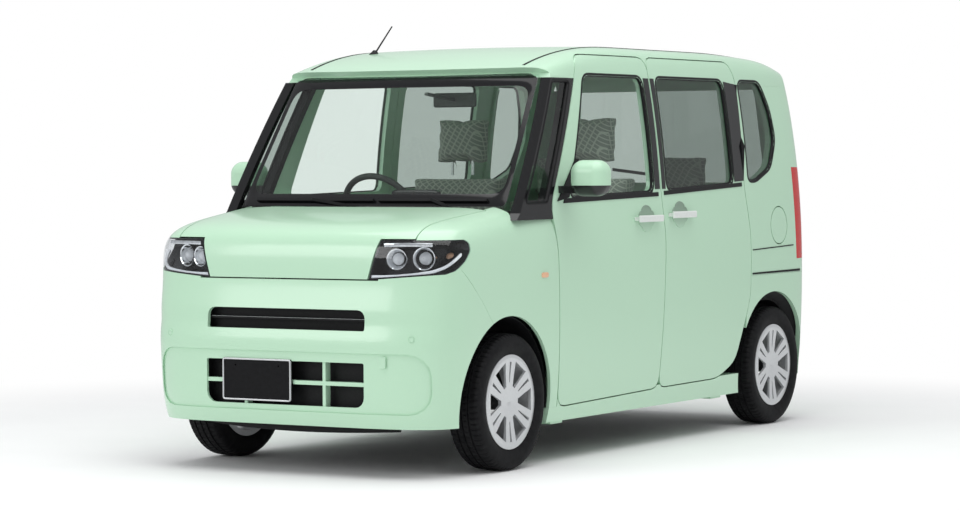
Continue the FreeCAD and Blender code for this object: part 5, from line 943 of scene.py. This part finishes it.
def loose_copies(name):
    """The separate solids of a node as new objects with merged points."""
    whole = bpy.data.objects.new("pad_source", nodes[name].data.copy())
    bpy.context.scene.collection.objects.link(whole)
    work = bmesh.new()
    work.from_mesh(whole.data)
    bmesh.ops.remove_doubles(work, verts=work.verts, dist=1e-5)
    work.to_mesh(whole.data)
    work.free()
    bpy.ops.object.select_all(action="DESELECT")
    whole.select_set(True)
    bpy.context.view_layer.objects.active = whole
    bpy.ops.mesh.separate(type="LOOSE")
    return list(bpy.context.selected_objects)


def coordinates(mesh):
    """The places of a mesh's points, one row each."""
    flat = np.empty(len(mesh.vertices) * 3)
    mesh.vertices.foreach_get("co", flat)
    return flat.reshape(-1, 3)


def applied(piece):
    """Works the piece's modifiers into its mesh."""
    graph = bpy.context.evaluated_depsgraph_get()
    mesh = bpy.data.meshes.new_from_object(piece.evaluated_get(graph))
    piece.modifiers.clear()
    piece.data = mesh


def start_form(piece, inset):
    """Moves the solid's sides in by an inset and remeshes it with even faces."""
    points = coordinates(piece.data)
    low, high = points.min(axis=0), points.max(axis=0)
    centre, half = (low + high) / 2, (high - low) / 2
    points = centre + (points - centre) * (half - inset) / half
    piece.data.vertices.foreach_set("co", points.ravel())
    remesh = piece.modifiers.new("remesh", "REMESH")
    remesh.mode = "VOXEL"
    remesh.voxel_size = VOXEL
    applied(piece)


def pressed(points, low, high, kind):
    """Seams in the upper or front face: depth = SEAM_DEPTH * exp(-(distance / SEAM_WIDTH) ** 2)."""
    centre = (low + high) / 2
    half = (high - low) / 2
    across = (points - centre) / half
    aside = np.abs(points[:, 0] - centre[0])
    upward = kind in ("bench", "seat_cushions")
    if kind == "bench":
        lines = [aside, np.abs(aside - BENCH_SEAM_X)]
    else:
        lines = [np.abs(aside - half[0] * SEAM_SHARE)]
    groove = sum(np.exp(-(line / SEAM_WIDTH) ** 2) for line in lines)
    facing = np.clip(across[:, 2] if upward else -across[:, 1], 0, 1)
    direction = np.array([0, 0, -1.0] if upward else [0, 1.0, 0])
    return points + (SEAM_DEPTH * groove * facing)[:, None] * direction


pads = []
for node_name in ["seat_cushions", "seat_backs", "headrests"]:
    group = []
    for piece in loose_copies(node_name):
        points = coordinates(piece.data)
        size = points.max(axis=0) - points.min(axis=0)
        if size.max() < SMALL:
            bpy.data.objects.remove(piece)
            continue
        start_form(piece, SWELL * (0.75 if node_name != "headrests" else 0.5))
        group.append(piece)
    pads.append((node_name, group))
rests = {}
for node_name, group in pads:
    for piece in group:
        rests[piece.name] = coordinates(piece.data)
        cloth = piece.modifiers.new("cloth", "CLOTH").settings
        cloth.quality = 4
        cloth.use_pressure = True
        cloth.uniform_pressure_force = PRESSURE
        cloth.effector_weights.gravity = 0
for frame_number in range(1, SIM_FRAMES + 1):
    bpy.context.scene.frame_set(frame_number)
for node_name, group in pads:
    for piece in group:
        applied(piece)
        start = rests[piece.name]
        move = coordinates(piece.data) - start
        reach = np.linalg.norm(move, axis=1)[:, None]
        moved = start + move * np.minimum(1, SWELL / np.maximum(reach, 1e-9))
        piece.data.vertices.foreach_set("co", moved.ravel())
bpy.context.scene.frame_set(1)
post_x = [seat + side for seat in (-0.330, 0.330) for side in (-0.055, 0.055)]
posts = [rail("post", [(x, 0.235, z) for z in (1.188, 1.215, 1.262)], oblong(0.006, 0.006), up=(0, 1, 0))
         for x in post_x]
finished(joined("headrest_posts", posts), "shell", CHROME)
for node_name, group in pads:
    for piece in group:
        points = coordinates(piece.data)
        low, high = points.min(axis=0), points.max(axis=0)
        bench = high[0] - low[0] > BENCH_WIDE
        kind = "bench" if bench and node_name == "seat_cushions" else node_name
        if node_name != "headrests":
            piece.data.vertices.foreach_set("co", pressed(points, low, high, kind).ravel())
        piece.modifiers.new("smooth", "SUBSURF").levels = 1
        applied(piece)
    whole = joined("padded_" + node_name, group)
    finished(whole, "shell", CLOTH, crease=3.0)
    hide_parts(node_name)

# %% [markdown]
# The photograph's camera was fitted to the wheels and to the length and width of the car's class. The
# lens is given by the focal length in pixels for a 960 pixel wide frame.

# %% Camera
FOCAL_PIXELS = 2992.86
FRAME_WIDTH_PIXELS = 960
SENSOR_WIDTH = 36
CAMERA_PLACE = (6.8459, -11.5260, 1.2625)
YAW, PITCH, ROLL = (math.radians(value) for value in (31.067, 1.842, -0.3134))
camera_data = bpy.data.cameras.new("camera")
camera = bpy.data.objects.new("camera", camera_data)
bpy.context.scene.collection.objects.link(camera)
camera_data.sensor_width = SENSOR_WIDTH
camera_data.lens = SENSOR_WIDTH * FOCAL_PIXELS / FRAME_WIDTH_PIXELS
camera_data.clip_end = 100
forward = Vector((-math.sin(YAW) * math.cos(PITCH), math.cos(YAW) * math.cos(PITCH), -math.sin(PITCH)))
level = Vector((math.cos(YAW), math.sin(YAW), 0))
upright = level.cross(forward)
right = level * math.cos(ROLL) + upright * math.sin(ROLL)
top = -level * math.sin(ROLL) + upright * math.cos(ROLL)
turn = Matrix((right, top, -forward)).transposed().to_4x4()
camera.matrix_world = Matrix.Translation(CAMERA_PLACE) @ turn
bpy.context.scene.camera = camera

# %% [markdown]
# A pale floor and a bright, even surround light the car from all sides. One large soft lamp above gives
# the roof and bonnet their sheen, and one in front lights the nose. Far out, the camera sees the floor as
# plain white.

# %% Floor, surround and lamps
FLOOR_HALF = 40
FLOOR_HEIGHT = -0.0005
FADE_START, FADE_END = 2.4, 4.6
floor = surface("floor", [[(x, y, FLOOR_HEIGHT) for y in (-FLOOR_HALF, FLOOR_HALF)]
                          for x in (-FLOOR_HALF, FLOOR_HALF)])
floor_finish = Finish("pale_floor")
floor_finish.colour(floor_finish.shades(floor_finish.noise(2, 2), (0.93, 0.93, 0.93), (0.95, 0.95, 0.95)))
floor_finish.set(Roughness=0.7, Specular_IOR_Level=0.2)
distance = floor_finish.node("ShaderNodeVectorMath", operation="LENGTH")
floor_finish.link(floor_finish.place.outputs["Object"], distance.inputs[0])
fade = floor_finish.node("ShaderNodeMapRange", interpolation_type="SMOOTHSTEP")
fade.inputs["From Min"].default_value = FADE_START
fade.inputs["From Max"].default_value = FADE_END
floor_finish.link(distance.outputs["Value"], fade.inputs["Value"])
shone = floor_finish.node("ShaderNodeEmission", Color=(1, 1, 1, 1), Strength=1.0)
path_kind = floor_finish.node("ShaderNodeLightPath")
seen = floor_finish.calculated("MULTIPLY", fade.outputs["Result"], path_kind.outputs["Is Camera Ray"])
floor_finish.mixed(seen, floor_finish.shader.outputs["BSDF"], shone.outputs["Emission"])
floor.data.materials.append(floor_finish.material)

world = bpy.data.worlds.new("surround")
bpy.context.scene.world = world
world.use_nodes = True
sky = Tree(world.node_tree, "World Output")
path_kind = sky.node("ShaderNodeLightPath")
surround = sky.tree.nodes["Background"]
surround.inputs["Color"].default_value = (0.97, 0.985, 1.0, 1)
surround.inputs["Strength"].default_value = 0.58
white = sky.node("ShaderNodeBackground", Color=(1, 1, 1, 1), Strength=1.0)
seen = sky.calculated("MAXIMUM", path_kind.outputs["Is Camera Ray"], path_kind.outputs["Is Transmission Ray"])
sky.mixed(seen, surround.outputs["Background"], white.outputs["Background"])


def soft_lamp(name, place, target, width, depth, power):
    """A large rectangular lamp that looks at a point."""
    data = bpy.data.lights.new(name, "AREA")
    data.shape = "RECTANGLE"
    data.size, data.size_y, data.energy = width, depth, power
    lamp = bpy.data.objects.new(name, data)
    bpy.context.scene.collection.objects.link(lamp)
    lamp.location = place
    lamp.rotation_euler = (Vector(target) - Vector(place)).to_track_quat("-Z", "Y").to_euler()
    return lamp


soft_lamp("over_lamp", (1.0, -1.0, 6.0), (0, 0, 0.8), 6, 8, 300)
soft_lamp("front_lamp", (-4.0, -9.0, 4.0), (0, 0, 0.8), 4, 4, 170)
bpy.context.scene.view_settings.view_transform = "Standard"
